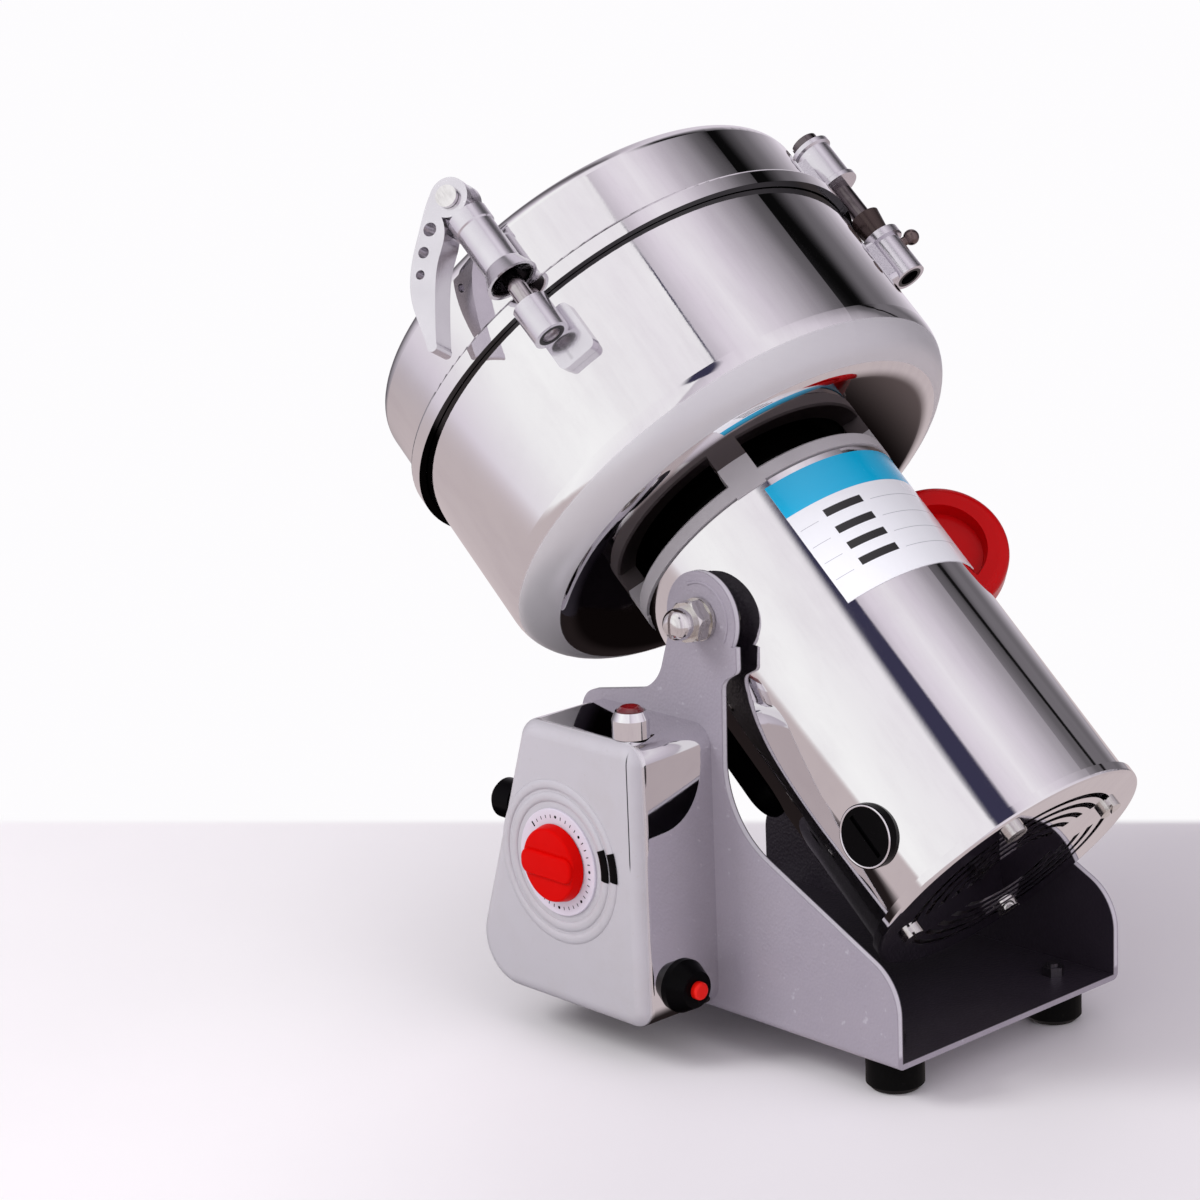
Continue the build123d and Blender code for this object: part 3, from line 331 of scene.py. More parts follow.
# plated box: fine satin on its front, mirror on the sides and the top, with a dark line by one edge
def makeBoxPlate():
    look = {"plate": (0.80, 0.79, 0.81), "front": (0.505, 0.490, 0.525), "line": (0.02, 0.02, 0.025),
            "dirt": (0.42, 0.39, 0.38), "lineX": 26.6 * mm, "lineLow": 85 * mm, "lineHigh": 130 * mm,
            "satin": 0.36, "frontMetal": 0.12, "turnIn": (3.3, 5.3)}
    material, tree, shader, spot = newMaterial("boxPlate", {"Specular IOR Level": 0.4})
    marks = place(tree, smears, {"Vector": spot, "Scale": 16, "Low": 0.02, "High": 0.07})
    body = place(tree, grain, {"Vector": spot, "Scale": 1500, "Uneven": 0.3})
    dirt = place(tree, dust, {"Vector": spot, "Scale": 26, "Amount": 0.3})
    across = add(tree, "SeparateXYZ", {0: spot}).outputs
    near, far = look["turnIn"]
    front = ease(tree, across["Y"], boxFront + near * mm, boxFront + far * mm, 1, 0)
    line = between(tree, across["X"], look["lineX"] - 0.25 * mm, look["lineX"] + 0.25 * mm, 0.08 * mm)
    upright = between(tree, across["Z"], look["lineLow"], look["lineHigh"], 2 * mm)
    line = maths(tree, "MULTIPLY", maths(tree, "MULTIPLY", line, upright), front)
    colour = blendColours(tree, front, look["plate"], look["front"])
    colour = blendColours(tree, maths(tree, "MULTIPLY", dirt["Mask"], front), colour, look["dirt"])
    colour = blendColours(tree, line, colour, look["line"])
    satin = maths(tree, "MULTIPLY_ADD", dirt["Mask"], 0.2, look["satin"])
    rough = add(tree, "Mix", {0: front, 2: marks["Roughness"], 3: satin}, data_type="FLOAT")
    metal = maths(tree, "MULTIPLY_ADD", front, look["frontMetal"] - 1, 1.0)
    fill(tree, shader, {"Base Color": colour, "Roughness": rough.outputs[0], "Metallic": metal})
    height = maths(tree, "MULTIPLY", body["Height"], front)
    addBump(tree, shader, height, 0.22, 0.08 * mm)
    return material


# white foil with a plain blue band along its top, and rows of blank rules and blank dark fields below
def makeLabel():
    look = {"white": (0.90, 0.92, 0.95), "blue": (0.0, 0.46, 0.77), "rule": (0.25, 0.26, 0.30),
            "field": (0.003, 0.003, 0.003), "bandLow": 10.6, "rows": (4.5, -4.0, -12.0, -20.0), "half": 1.7,
            "fieldSides": (-24.5, -7.0), "ruleSides": ((-35.0, -28.0), (-3.5, 30.0))}
    material, tree, shader, spot = newMaterial("labelFoil", {"Coat Weight": 0.25, "Coat Roughness": 0.1})
    marks = place(tree, smears, {"Vector": spot, "Scale": 30, "Low": 0.16, "High": 0.3})
    height = along(tree, spot, headUp, axisPoint)
    side = along(tree, spot, (0, 1, 0), axisPoint)
    band = ease(tree, height, (look["bandLow"] - 0.1) * mm, (look["bandLow"] + 0.1) * mm)
    colour = blendColours(tree, band, look["white"], look["blue"])
    rules, fields = 0.0, 0.0
    for row in look["rows"]:
        low, high = (row - look["half"]) * mm, (row + look["half"]) * mm
        rules = maths(tree, "MAXIMUM", rules, between(tree, height, low, low + 0.25 * mm, 0.05 * mm))
        fields = maths(tree, "MAXIMUM", fields, between(tree, height, low, high, 0.1 * mm))
    width = 0.0
    for left, right in look["ruleSides"]:
        width = maths(tree, "MAXIMUM", width, between(tree, side, left * mm, right * mm, 0.05 * mm))
    left, right = look["fieldSides"]
    fields = maths(tree, "MULTIPLY", fields, between(tree, side, left * mm, right * mm, 0.1 * mm))
    rules = maths(tree, "MULTIPLY", maths(tree, "MULTIPLY", rules, width), 0.7)
    colour = blendColours(tree, rules, colour, look["rule"])
    colour = blendColours(tree, fields, colour, look["field"])
    fill(tree, shader, {"Base Color": colour, "Roughness": marks["Roughness"]})
    addBump(tree, shader, marks["Height"], 0.03, 0.1 * mm)
    return material


# dark red lens with a paler heart in its middle, which is a painted glow
def makeLens():
    look = {"lens": (0.11, 0.004, 0.008), "paintedGlow": (0.30, 0.010, 0.014), "paintedGlowSpan": (1.5, 5)}
    material, tree, shader, spot = newMaterial("lampLens", {"Coat Weight": 0.8, "Coat Roughness": 0.05})
    marks = place(tree, smears, {"Vector": spot, "Scale": 60, "Low": 0.06, "High": 0.16})
    low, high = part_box("lamp_lens")
    middle = (Vector(low) + Vector(high)) / 2
    apart = add(tree, "VectorMath", {0: spot, 1: (middle.x, middle.y, high[2])}, operation="DISTANCE")
    # painted glow: paler red towards the middle of the lens top
    near, far = look["paintedGlowSpan"]
    paintedGlow = ease(tree, apart.outputs["Value"], near * mm, far * mm, 1, 0)
    colour = blendColours(tree, paintedGlow, look["lens"], look["paintedGlow"])
    fill(tree, shader, {"Base Color": colour, "Roughness": marks["Roughness"]})
    addBump(tree, shader, marks["Height"], 0.03, 0.1 * mm)
    return material


# one finish for each material slot of the record
finishes = {
    "base_paint": makeBasePaint(),
    "box_chrome": makeBoxPlate(),
    "label": makeLabel(),
    "lamp_red": makeLens(),
    "mirror_steel": polishedMetal("mirrorSteel", {
        "colour": (0.80, 0.79, 0.80), "shade": (0.74, 0.72, 0.74), "low": 0.02, "high": 0.085, "scale": 12,
        # the gap is painted shadow at the joint under the lid's band
        "bump": 0.012, "gap": (126.98, 127.3), "gapPaintedShadow": (0.006, 0.005, 0.006),
        # the floor is a painted dark reflection on the bowl's underside
        "floor": (42.5, 44.2, 88), "floorFade": 6, "floorPaintedReflection": (0.085, 0.062, 0.060),
        "inside": (44.4, 133.5, 102.6), "insideShade": (0.60, 0.59, 0.61), "insideRough": 0.3,
        "insideMetal": 0.35}),
    "trim_chrome": polishedMetal("trimChrome", {
        "colour": (0.82, 0.81, 0.83), "shade": (0.74, 0.72, 0.76), "low": 0.04, "high": 0.12, "scale": 40}),
    "zinc": polishedMetal("brightZinc", {
        "colour": (0.74, 0.73, 0.71), "shade": (0.58, 0.55, 0.50), "low": 0.14, "high": 0.32, "scale": 90,
        "bump": 0.05}),
    "steel": polishedMetal("turnedSteel", {
        "colour": (0.78, 0.76, 0.76), "shade": (0.62, 0.60, 0.60), "low": 0.08, "high": 0.2, "scale": 80,
        "bump": 0.04}),
    "copper": polishedMetal("copper", {
        "colour": (0.72, 0.34, 0.16), "shade": (0.5, 0.2, 0.09), "low": 0.2, "high": 0.4, "scale": 80,
        "bump": 0.3}),
    "blade_steel": polishedMetal("bladeSteel", {
        "colour": (0.64, 0.63, 0.63), "shade": (0.5, 0.49, 0.49), "low": 0.18, "high": 0.36, "scale": 60,
        "bump": 0.12}),
    "black_rubber": grainyFinish("blackRubber", {
        "colour": (0.004, 0.004, 0.004), "shade": (0.002, 0.002, 0.002), "roughness": 0.55, "scale": 1500,
        "depth": 0.25, "dust": 0.012, "shine": 0.04}),
    "black_plastic": grainyFinish("blackMoulding", {
        "colour": (0.0015, 0.0012, 0.002), "shade": (0.001, 0.001, 0.001), "roughness": 0.28, "scale": 1800,
        "depth": 0.1, "dust": 0.004, "shine": 0.045}),
    "knob_red": grainyFinish("knobRed", {
        "colour": (0.62, 0.001, 0.0004), "shade": (0.53, 0.001, 0.0004), "roughness": 0.34, "scale": 1400,
        "depth": 0.06, "dust": 0.002, "shine": 0.035}),
    "button_red": grainyFinish("buttonRed", {
        "colour": (0.86, 0.010, 0.004), "shade": (0.70, 0.006, 0.003), "roughness": 0.34, "scale": 1400,
        "depth": 0.06, "dust": 0.01, "shine": 0.25}),
    "handle_red": grainyFinish("handleRed", {
        "colour": (0.58, 0.001, 0.003), "shade": (0.46, 0.001, 0.002), "roughness": 0.2, "scale": 1100,
        "depth": 0.05, "dust": 0.004, "shine": 0.12}),
    "bush_nylon": grainyFinish("nylon", {
        "colour": (0.75, 0.73, 0.66), "shade": (0.68, 0.65, 0.57), "roughness": 0.45, "scale": 900,
        "depth": 0.1, "dust": 0.15}),
    "cast_aluminium": grainyFinish("greyCasting", {
        "colour": (0.52, 0.50, 0.535), "shade": (0.42, 0.40, 0.43), "roughness": 0.42, "scale": 1300,
        "depth": 0.3, "metallic": 0.2, "dust": 0.1, "reach": 0.15}),
    "clamp_aluminium": grainyFinish("paleCasting", {
        "colour": (0.74, 0.72, 0.76), "shade": (0.60, 0.58, 0.62), "roughness": 0.17, "scale": 1500,
        "depth": 0.16, "metallic": 0.9, "dust": 0.04, "dark": (0.010, 0.008, 0.010),
        # the wells are painted shade round each clamp rod
        "stands": ((-58.5, 114.2), (54, 114.6)), "shadedWells": ((135.5, 140.2, 9.2), (96.5, 107.3, 5.8))}),
    "dark_collar": grainyFinish("darkSleeve", {
        "colour": (0.075, 0.050, 0.046), "shade": (0.045, 0.030, 0.028), "roughness": 0.2, "scale": 1300,
        "depth": 0.06, "metallic": 0.6, "dust": 0.03}),
    "lamination": grainyFinish("laminations", {
        "colour": (0.16, 0.16, 0.17), "shade": (0.1, 0.1, 0.1), "roughness": 0.5, "scale": 900,
        "depth": 0.3, "metallic": 0.8}),
    "carbon": grainyFinish("carbon", {
        "colour": (0.03, 0.03, 0.03), "shade": (0.02, 0.02, 0.02), "roughness": 0.6, "scale": 900,
        "depth": 0.3}),
    "fan_plastic": grainyFinish("fanNylon", {
        "colour": (0.02, 0.02, 0.022), "shade": (0.014, 0.014, 0.015), "roughness": 0.45, "scale": 900,
        "depth": 0.12}),
}
# nodes whose finish differs from that of their slot's other pieces
ownFinish = {
    "timer_bezel": grainyFinish("dialPlate", {
        "colour": (0.66, 0.62, 0.70), "shade": (0.58, 0.54, 0.62), "roughness": 0.36, "scale": 1500,
        "depth": 0.05, "dust": 0.06}),
    "motor_flange": grainyFinish("flangeCasting", {
        "colour": (0.54, 0.52, 0.54), "shade": (0.43, 0.41, 0.43), "roughness": 0.42, "scale": 1300,
        # the hollow holds painted shade in the flange's windows
        "depth": 0.3, "dust": 0.05, "shine": 0.2, "reach": 0.15, "hollow": 51.0,
        "dark": (0.0015, 0.001, 0.0015)}),
    "set_screw": polishedMetal("brownedSteel", {
        "colour": (0.17, 0.13, 0.125), "shade": (0.10, 0.075, 0.07), "low": 0.16, "high": 0.3, "scale": 90,
        "bump": 0.05}),
    "clamp_rod": polishedMetal("rodSteel", {
        "colour": (0.50, 0.47, 0.48), "shade": (0.34, 0.31, 0.32), "low": 0.1, "high": 0.24, "scale": 80,
        "bump": 0.04}),
    "lid_post": polishedMetal("darkRod", {
        "colour": (0.15, 0.13, 0.135), "shade": (0.09, 0.075, 0.08), "low": 0.1, "high": 0.24, "scale": 80,
        "bump": 0.04}),
    "foot_screws": polishedMetal("blackenedSteel", {
        "colour": (0.16, 0.15, 0.17), "shade": (0.08, 0.07, 0.08), "low": 0.3, "high": 0.5, "scale": 90,
        "bump": 0.1}),
}
slotOf = {part["node"]: part["material_slot"] for part in frame["record"]["subparts"]}
for name, item in nodes.items():
    item.data.materials.clear()
    item.data.materials.append(ownFinish.get(name, finishes[slotOf[name]]))
print("materials:", len(finishes))


# turns a bmesh into a piece that rides on a body and wears one of the finishes
def makePiece(name, mesh, body, slotName, sharp=35):
    bmesh.ops.remove_doubles(mesh, verts=mesh.verts, dist=0.002 * mm)
    bmesh.ops.recalc_face_normals(mesh, faces=mesh.faces)
    data = bpy.data.meshes.new(name)
    mesh.to_mesh(data)
    mesh.free()
    data.materials.append(finishes[slotName])
    data.shade_smooth()
    data.set_sharp_from_angle(angle=math.radians(sharp))
    piece = bpy.data.objects.new(name, data)
    bpy.context.scene.collection.objects.link(piece)
    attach(piece, body)
    return piece


# spins a closed section of (radius, height) points in mm about z, through an arc in degrees, and sets it
# in place by a matrix
def spinSection(mesh, section, matrix, start=0.0, arc=360.0, steps=96):
    corners = [mesh.verts.new((radius * mm, 0, height * mm)) for radius, height in section]
    edges = [mesh.edges.new((corners[i], corners[(i + 1) % len(corners)])) for i in range(len(corners))]
    full = arc >= 360
    geometry = corners + edges
    if not full:
        geometry = geometry + [mesh.faces.new(corners)]
    bmesh.ops.rotate(mesh, verts=corners, cent=(0, 0, 0), matrix=Matrix.Rotation(math.radians(start), 3, "Z"))
    bmesh.ops.spin(mesh, geom=geometry, cent=(0, 0, 0), axis=(0, 0, 1), angle=math.radians(arc), steps=steps,
                   use_merge=full)
    for item in mesh.verts:
        if not item.tag:
            item.co = matrix @ item.co
            item.tag = True


# thin dial plate under the knob, with a boss that carries the timer's nut
def makeDialPlate():
    size = {"bore": 5.7, "outer": 21.9, "thick": 1.0, "boss": 9.0, "bossHigh": 2.5, "round": 0.3}
    mesh = bmesh.new()
    section = [(size["bore"], 0), (size["outer"], 0), (size["outer"], size["thick"] - size["round"]),
               (size["outer"] - size["round"], size["thick"]), (size["boss"], size["thick"]),
               (size["boss"], size["bossHigh"]), (size["bore"], size["bossHigh"])]
    spinSection(mesh, section, dialMatrix)
    plate = makePiece("dialPlate", mesh, "base", "trim_chrome")
    plate.data.materials.clear()
    plate.data.materials.append(ownFinish["timer_bezel"])
    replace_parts(plate, "timer_bezel")


# two rounded beads pressed into the front of the box, round the dial
def makeDialBeads():
    size = {"inner": 26.6, "outer": 31.6, "half": 2.0, "height": 0.7, "sink": 0.3, "steps": 6}
    mesh = bmesh.new()
    for middle in (size["inner"], size["outer"]):
        section = [(middle - size["half"], -size["sink"])]
        for step in range(size["steps"] + 1):
            turn = math.pi * (1 - step / size["steps"])
            section.append((middle + size["half"] * math.cos(turn), size["height"] * math.sin(turn)))
        section.append((middle + size["half"], -size["sink"]))
        spinSection(mesh, section, dialMatrix)
    makePiece("dialBeads", mesh, "base", "box_chrome", 60)


# two short black bars on the beads, to the right of the dial, that stand for a painted dark reflection
def makeReflectionBars():
    size = {"bars": ((27.0, -5, 27), (32.0, -3, 21)), "half": 1.95, "low": 0.2, "high": 0.85, "slope": 0.25,
            "steps": 14}
    mesh = bmesh.new()
    side = size["high"] - size["slope"]
    for radius, start, arc in size["bars"]:
        inner, outer = radius - size["half"], radius + size["half"]
        section = [(inner, size["low"]), (inner, side), (radius, size["high"]), (outer, side),
                   (outer, size["low"])]
        spinSection(mesh, section, dialMatrix, start, arc, size["steps"])
    makePiece("reflectionBars", mesh, "base", "black_plastic")


# the scale printed on the dial's rim: a stroke at nought, ticks, and a dot at each fifth tick
def makeDialMarks():
    size = {"radius": 18.8, "face": 1.0, "start": 135.0, "step": 9.0, "ticks": 30, "each": 5,
            "long": 1.4, "wide": 0.42, "dot": 0.65, "strokeLong": 2.4, "strokeWide": 0.8, "raised": 0.05}
    mesh = bmesh.new()
    for count in range(size["ticks"] + 1):
        angle = math.radians(size["start"] - size["step"] * count)
        spot = dialMatrix @ Matrix.Rotation(angle, 4, "Z") @ Matrix.Translation(
            (size["radius"] * mm, 0, size["face"] * mm))
        if count == 0:
            shape = spot @ Matrix.Diagonal((size["strokeLong"] * mm, size["strokeWide"] * mm,
                                            size["raised"] * mm, 1))
            bmesh.ops.create_cube(mesh, size=1, matrix=shape)
        elif count % size["each"] == 0:
            bmesh.ops.create_cone(mesh, cap_ends=True, segments=16, radius1=size["dot"] * mm,
                                  radius2=size["dot"] * mm, depth=size["raised"] * mm, matrix=spot)
        else:
            shape = spot @ Matrix.Diagonal((size["long"] * mm, size["wide"] * mm, size["raised"] * mm, 1))
            bmesh.ops.create_cube(mesh, size=1, matrix=shape)
    makePiece("dialMarks", mesh, "base", "black_plastic")


# a pressed bead that follows the round top of each lobe, inside its edge
def makeLobeBeads():
    size = {"radius": 14.4, "half": 0.7, "height": 0.45, "flat": 0.4, "sink": 0.3, "start": -32, "arc": 150,
            "steps": 40}
    mesh = bmesh.new()
    for wall, turn in ((wallLow, math.pi / 2), (wallHigh, -math.pi / 2)):
        flip = Matrix.Identity(4) if turn > 0 else Matrix.Diagonal((1, -1, 1, 1))
        spot = Matrix.Translation((tiltPoint.x, wall, tiltPoint.z)) @ Matrix.Rotation(turn, 4, "X") @ flip
        inner, outer = size["radius"] - size["half"], size["radius"] + size["half"]
        section = [(inner, -size["sink"]), (inner, 0), (size["radius"] - size["flat"], size["height"]),
                   (size["radius"] + size["flat"], size["height"]), (outer, 0), (outer, -size["sink"])]
        spinSection(mesh, section, spot, size["start"], size["arc"], size["steps"])
    makePiece("lobeBeads", mesh, "base", "base_paint", 60)


# a bright plated ring round the face of each brush cap
def makeCapRings():
    size = {"angles": (-85, 95), "height": -108, "face": 60.9, "radius": 11.9, "bead": 0.45, "steps": 10}
    mesh = bmesh.new()
    for angle in size["angles"]:
        section = []
        for step in range(size["steps"]):
            turn = 2 * math.pi * step / size["steps"]
            section.append((size["radius"] + size["bead"] * math.cos(turn), size["bead"] * math.sin(turn)))
        spinSection(mesh, section, facing(angle, size["face"] * mm, size["height"] * mm))
    makePiece("capRings", mesh, "head", "trim_chrome", 80)


# bevels chosen edges into soft rounds
def roundEdges(mesh, edges, radius, segments):
    bmesh.ops.bevel(mesh, geom=edges, offset=radius * mm, segments=segments, profile=0.5, affect="EDGES",
                    material=-1)


# one broad soft ridge across the knob's face
def knobRidge(size):
    ridge = bmesh.new()
    thick = size["ridgeHigh"] + size["sink"]
    bmesh.ops.create_cube(ridge, size=1, matrix=Matrix.Diagonal(
        (size["ridgeLong"] * mm, size["ridgeWide"] * mm, thick * mm, 1)))
    bmesh.ops.translate(ridge, verts=ridge.verts, vec=(0, 0, (size["face"] - size["sink"] + thick / 2) * mm))
    upright = [edge for edge in ridge.edges if abs((edge.verts[0].co - edge.verts[1].co).z) > mm]
    roundEdges(ridge, upright, size["ridgeRound"], 8)
    top = max(corner.co.z for corner in ridge.verts)
    brim = [edge for edge in ridge.edges if min(corner.co.z for corner in edge.verts) > top - 0.01 * mm]
    roundEdges(ridge, brim, size["brimRound"], 5)
    bmesh.ops.transform(ridge, matrix=dialMatrix, verts=ridge.verts)
    return ridge


# low tapered knob, hollow from behind, with its ridge
def makeKnob():
    size = {"foot": 15.9, "radius": 15.1, "back": 1.25, "face": 6.1, "edge": 1.2, "edgeTurn": 14,
            "hollow": 9.6, "roof": 5.35, "crown": 0.1, "crownSide": 0.08, "chamfer": 0.3, "ridgeLong": 29.4,
            "ridgeWide": 10.6, "ridgeHigh": 1.6, "ridgeRound": 4.4, "brimRound": 1.15, "sink": 0.6}
    mesh = bmesh.new()
    rim, face, edge = size["radius"], size["face"], size["edge"]
    section = [(0, face + size["crown"]), (rim * 0.5, face + size["crownSide"]), (rim - edge, face)]
    for step in range(1, 6):
        turn = math.radians(size["edgeTurn"] * step)
        section.append((rim - edge + edge * math.sin(turn), face - edge + edge * math.cos(turn)))
    foot, back, chamfer = size["foot"], size["back"], size["chamfer"]
    section += [(foot, back + chamfer), (foot - chamfer, back), (size["hollow"], back),
                (size["hollow"], size["roof"]), (0, size["roof"])]
    corners = [mesh.verts.new((radius * mm, 0, height * mm)) for radius, height in section]
    edges = [mesh.edges.new(pair) for pair in zip(corners, corners[1:])]
    bmesh.ops.spin(mesh, geom=corners + edges, cent=(0, 0, 0), axis=(0, 0, 1), angle=2 * math.pi, steps=96,
                   use_merge=True)
    bmesh.ops.remove_doubles(mesh, verts=mesh.verts, dist=0.002 * mm)
    bmesh.ops.transform(mesh, matrix=dialMatrix, verts=mesh.verts)
    ridge = knobRidge(size)
    spare = bpy.data.meshes.new("ridge")
    ridge.to_mesh(spare)
    ridge.free()
    mesh.from_mesh(spare)
    bpy.data.meshes.remove(spare)
    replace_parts(makePiece("timerKnob", mesh, "knob", "knob_red", 40), "timer_knob")


# the short spindle that the knob turns
def makeSpindle():
    size = {"radius": 3.0, "front": 5.9, "back": 13, "edge": 0.4}
    mesh = bmesh.new()
    bmesh.ops.create_cone(mesh, cap_ends=True, segments=48, radius1=size["radius"] * mm,
                          radius2=size["radius"] * mm, depth=(size["front"] + size["back"]) * mm)
    bmesh.ops.translate(mesh, verts=mesh.verts, vec=(0, 0, (size["front"] - size["back"]) / 2 * mm))
    ends = [edge for edge in mesh.edges if abs((edge.verts[0].co - edge.verts[1].co).z) < 0.01 * mm]
    roundEdges(mesh, ends, size["edge"], 2)
    bmesh.ops.transform(mesh, matrix=dialMatrix, verts=mesh.verts)
    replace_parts(makePiece("timerSpindle", mesh, "knob", "steel"), "timer_shaft")


makeKnob()
makeSpindle()
makeDialPlate()
makeDialBeads()
makeReflectionBars()
makeDialMarks()
makeLobeBeads()
makeCapRings()
print("pieces ready")


def addCamera():
    view = {"place": (0.890739, -0.892638, 0.484009), "turn": (76.0465, 2.2881, 47.1884), "lens": 95.985}
    lens = bpy.data.cameras.new("camera")
    lens.lens = view["lens"]
    lens.sensor_width = 36
    lens.clip_start = 0.05
    camera = bpy.data.objects.new("camera", lens)
    camera.location = view["place"]
    camera.rotation_euler = [math.radians(turn) for turn in view["turn"]]
    bpy.context.scene.collection.objects.link(camera)
    bpy.context.scene.camera = camera


# soft light that lights the surfaces but stays out of the polished metal
def addLight(name, spot, target, size, power):
    lamp = bpy.data.lights.new(name, "AREA")
    lamp.shape = "RECTANGLE"
    lamp.size, lamp.size_y = size
    lamp.energy = power
    item = bpy.data.objects.new(name, lamp)
    item.location = spot
    item.rotation_euler = (Vector(target) - Vector(spot)).to_track_quat("-Z", "Y").to_euler()
    item.visible_glossy = False
    bpy.context.scene.collection.objects.link(item)


# a shade from 0 to 255 as an amount of light
def linear(shade):
    shade = shade / 255
    return shade / 12.92 if shade <= 0.04045 else ((shade + 0.055) / 1.055) ** 2.4


# the studio's walls and screens, as the metal sees them: shade by compass angle in degrees
studioShades = [
    (-180, 120), (-172, 140), (-160, 165), (-140, 208), (-120, 234), (-108, 240),
    (-90, 232), (-70, 228), (-56, 230), (-51, 232), (-49, 188), (-30, 212), (5, 226), (40, 204), (60, 176),
    (74, 136), (80, 96), (84, 78), (86, 22), (88, 8), (92, 10), (95, 58), (103, 106), (112, 160), (122, 206),
    (140, 196), (152, 152), (158, 110), (164, 80), (172, 105), (180, 120)]
steelShare = 0.79          # what the steel gives back of the light that falls on it
lilacCast = {"parts": (0.010, -0.026, 0.020), "none": 236, "over": 20}


# a studio shade as a light's colour, with a lilac cast that the palest shades lose
def studioTint(shade):
    share = max(0.0, min(1.0, (lilacCast["none"] - shade) / lilacCast["over"]))
    return tuple(linear(shade * (1 + part * share)) / steelShare for part in lilacCast["parts"])


# one where an angle lies between low and high, in degrees
def betweenAngles(tree, angle, low, high, soft):
    return between(tree, angle, math.radians(low), math.radians(high), math.radians(soft))


# the studio's shade in a direction, which the world and the table's mirror image share
def buildStudioTone():
    group, start, end = newGroup("studioTone", [("Vector", "vector", None)], [("Color", "colour")])
    unit = add(group, "VectorMath", {0: start.outputs["Vector"]}, operation="NORMALIZE").outputs[0]
    across = add(group, "SeparateXYZ", {0: unit}).outputs
    compass = maths(group, "ARCTAN2", across["Y"], across["X"])
    ramp = add(group, "ValToRGB", {0: maths(group, "MULTIPLY_ADD", compass, 0.5 / math.pi, 0.5)})
    stops = ramp.color_ramp.elements
    while len(stops) < len(studioShades):
        stops.new(0.5)
    for stop, (angle, shade) in zip(stops, studioShades):
        stop.position = (angle + 180) / 360
        stop.color = (*studioTint(shade), 1)
    colour = ramp.outputs["Color"]
    lift = maths(group, "ARCSINE", across["Z"])
    # a narrow dark screen high up in front, which tapers upwards
    screen = {"middle": -50, "low": 47, "high": 69, "taper": (56, 65), "wide": 13.0, "slim": 0.8,
              "navy": (54, 52, 74)}
    aside = maths(group, "ABSOLUTE", maths(group, "SUBTRACT", compass, math.radians(screen["middle"])))
    half = ease(group, lift, *map(math.radians, (*screen["taper"], screen["wide"], screen["slim"])))
    dark = ease(group, maths(group, "DIVIDE", aside, half), 0.6, 1.3, 1, 0)
    dark = maths(group, "MULTIPLY", dark, betweenAngles(group, lift, screen["low"], screen["high"], 1))
    colour = blendColours(group, dark, colour, tuple(linear(part) / steelShare for part in screen["navy"]))
    # low down, the dark side opens to a dim wall with one thin black post before it
    side = {"top": (24, 35), "wall": (82, 100), "wallShade": 106, "post": (85.2, 87.8), "postLift": (14, 36),
            "postShade": 14}
    low = ease(group, lift, *map(math.radians, side["top"]), 1, 0)
    dim = maths(group, "MULTIPLY", low, betweenAngles(group, compass, *side["wall"], 4))
    colour = blendColours(group, dim, colour, studioTint(side["wallShade"]))
    post = maths(group, "MULTIPLY", betweenAngles(group, compass, *side["post"], 0.6),
                 betweenAngles(group, lift, *side["postLift"], 2))
    colour = blendColours(group, post, colour, studioTint(side["postShade"]))
    # a pale ceiling
    ceiling = {"lift": (68, 84), "shade": 222}
    over = ease(group, lift, *map(math.radians, ceiling["lift"]))
    colour = blendColours(group, over, colour, studioTint(ceiling["shade"]))
    fill(group, end, {"Color": colour})
    return group


studioTone = buildStudioTone()


# a white room to the eye, and the studio to everything else
def addWorld():
    backdrop = {"seen": (0.985, 0.975, 0.990), "strength": 1.0}
    world = bpy.data.worlds.new("studio")
    world.use_nodes = True
    tree = world.node_tree
    tone = place(tree, studioTone, {"Vector": add(tree, "TexCoord").outputs["Generated"]})["Color"]
    seen = add(tree, "LightPath").outputs["Is Camera Ray"]
    colour = blendColours(tree, seen, tone, backdrop["seen"])
    fill(tree, tree.nodes["Background"], {"Color": colour, "Strength": backdrop["strength"]})
    bpy.context.scene.world = world
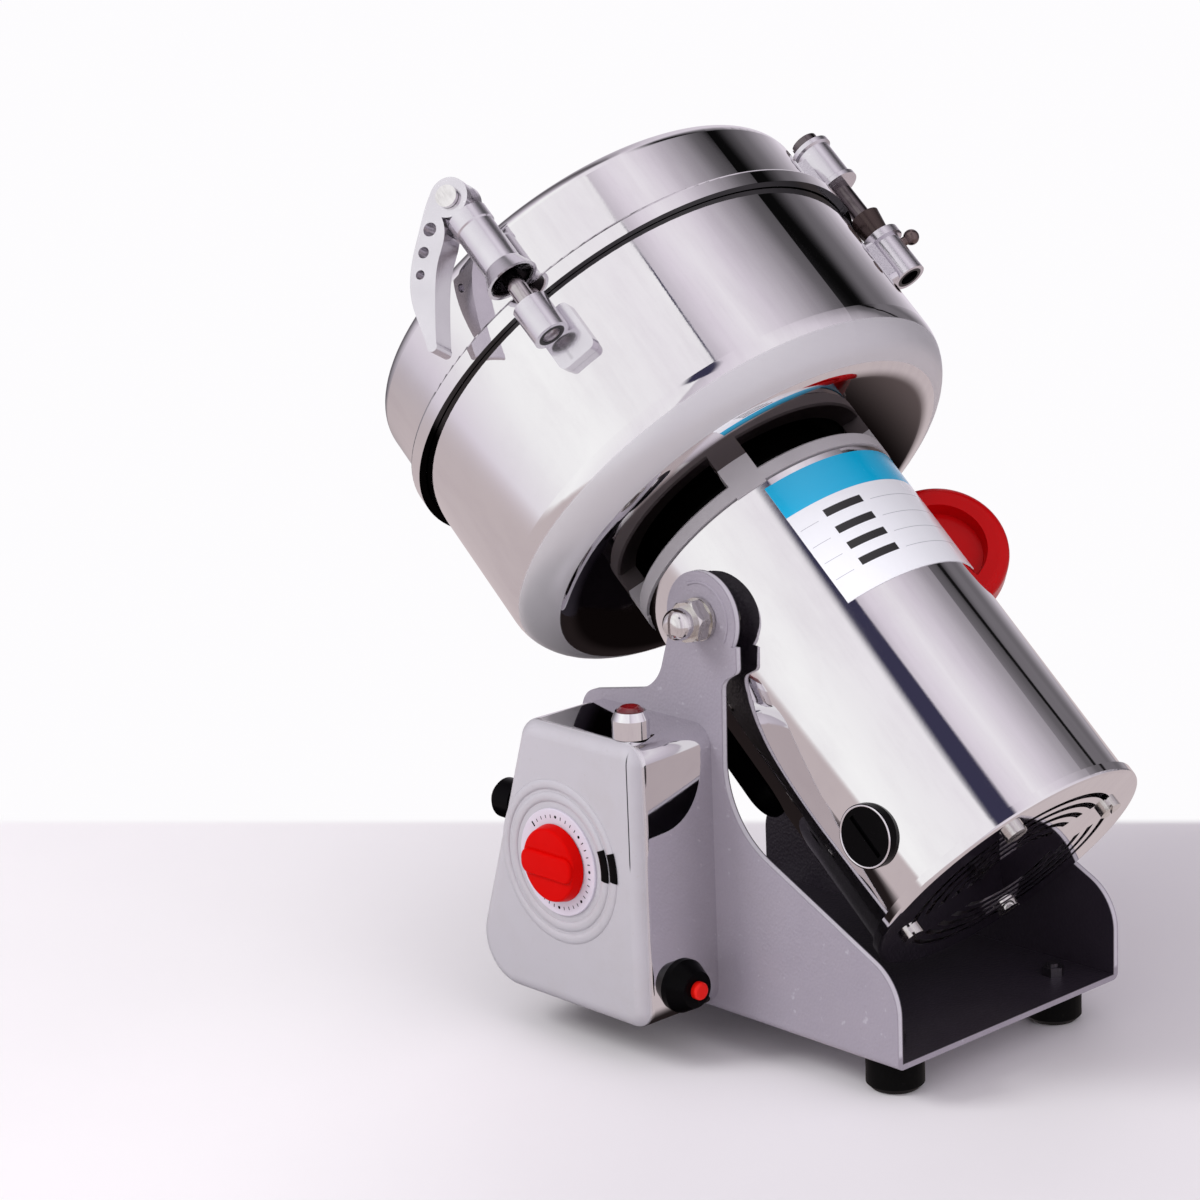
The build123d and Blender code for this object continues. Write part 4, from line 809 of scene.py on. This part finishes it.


# pale table with a far edge behind the mill, and painted light that makes it brighter to one side; polished
# metal mirrors it as a glow: a painted shadow under the mill, painted dim shade around it, and further out
# the studio's walls
def addFloor():
    look = {"near": (0.86, 0.84, 0.86), "far": (0.985, 0.975, 0.990), "edge": 0.2275,
            # the dark and dim colours that the metal sees under and around the mill are painted shadow and shade
            "away": (-0.645, 0.764, 0), "paintedShadowUnder": (0.018, 0.013, 0.013), "dim": (0.62, 0.535, 0.545),
            "middle": (-0.10, 0.07, 0), "stretch": (1, 0.6, 1), "bright": (0.99, 0.975, 0.98),
            "brighten": (-0.735, -0.678, 0), "brightSpan": (0.02, 0.24), "cloud": (0.5, 0.48, 0.5),
            "dimSpan": (0.155, 0.19), "openSpan": (0.55, 1.1)}
    material, tree, shader, spot = newMaterial("paleFloor", {"Roughness": 0.6})
    beyond = ease(tree, along(tree, spot, look["away"]), look["edge"] - 0.006, look["edge"] + 0.006)
    clouds = noise(tree, spot, 14, 5)
    # painted light: the table brighter towards one side
    lit = ease(tree, along(tree, spot, look["brighten"]), *look["brightSpan"])
    colour = blendColours(tree, lit, look["near"], look["bright"])
    colour = blendColours(tree, maths(tree, "MULTIPLY", clouds, 0.06), colour, look["cloud"])
    fill(tree, shader, {"Base Color": colour})
    shift = add(tree, "VectorMath", {0: spot, 1: look["middle"]}, operation="SUBTRACT").outputs[0]
    shift = add(tree, "VectorMath", {0: shift, 1: look["stretch"]}, operation="MULTIPLY").outputs[0]
    span = add(tree, "VectorMath", {0: shift}, operation="LENGTH").outputs["Value"]
    tone = place(tree, studioTone, {"Vector": spot})["Color"]
    # painted shadow and shade: what polished metal sees of the table, dark under the mill and dim around it
    mirroredPaintedShade = blendColours(tree, ease(tree, span, *look["dimSpan"]), look["paintedShadowUnder"], look["dim"])
    mirroredPaintedShade = blendColours(tree, ease(tree, span, *look["openSpan"]), mirroredPaintedShade, tone)
    glow = add(tree, "Emission", {"Color": mirroredPaintedShade})
    white = add(tree, "Emission", {"Color": look["far"]})
    ray = add(tree, "LightPath").outputs
    seenFar = maths(tree, "MULTIPLY", ray["Is Camera Ray"], beyond)
    blend = add(tree, "MixShader", {0: seenFar, 1: shader.outputs[0], 2: white.outputs[0]})
    blend = add(tree, "MixShader", {0: ray["Is Glossy Ray"], 1: blend.outputs[0], 2: glow.outputs[0]})
    fill(tree, tree.nodes["Material Output"], {"Surface": blend.outputs[0]})
    grid = bmesh.new()
    bmesh.ops.create_grid(grid, x_segments=1, y_segments=1, size=6)
    mesh = bpy.data.meshes.new("floor")
    grid.to_mesh(mesh)
    grid.free()
    mesh.materials.append(material)
    floor = bpy.data.objects.new("floor", mesh)
    bpy.context.scene.collection.objects.link(floor)


addCamera()
addFloor()
addWorld()
addLight("keyLight", (-0.9, -1.6, 1.7), (0, 0, 0.2), (0.9, 0.9), 24)
addLight("fillLight", (1.9, -0.4, 1.2), (0, 0, 0.2), (1.0, 1.4), 5)
bpy.context.scene.view_settings.view_transform = "Standard"
print("stage ready")
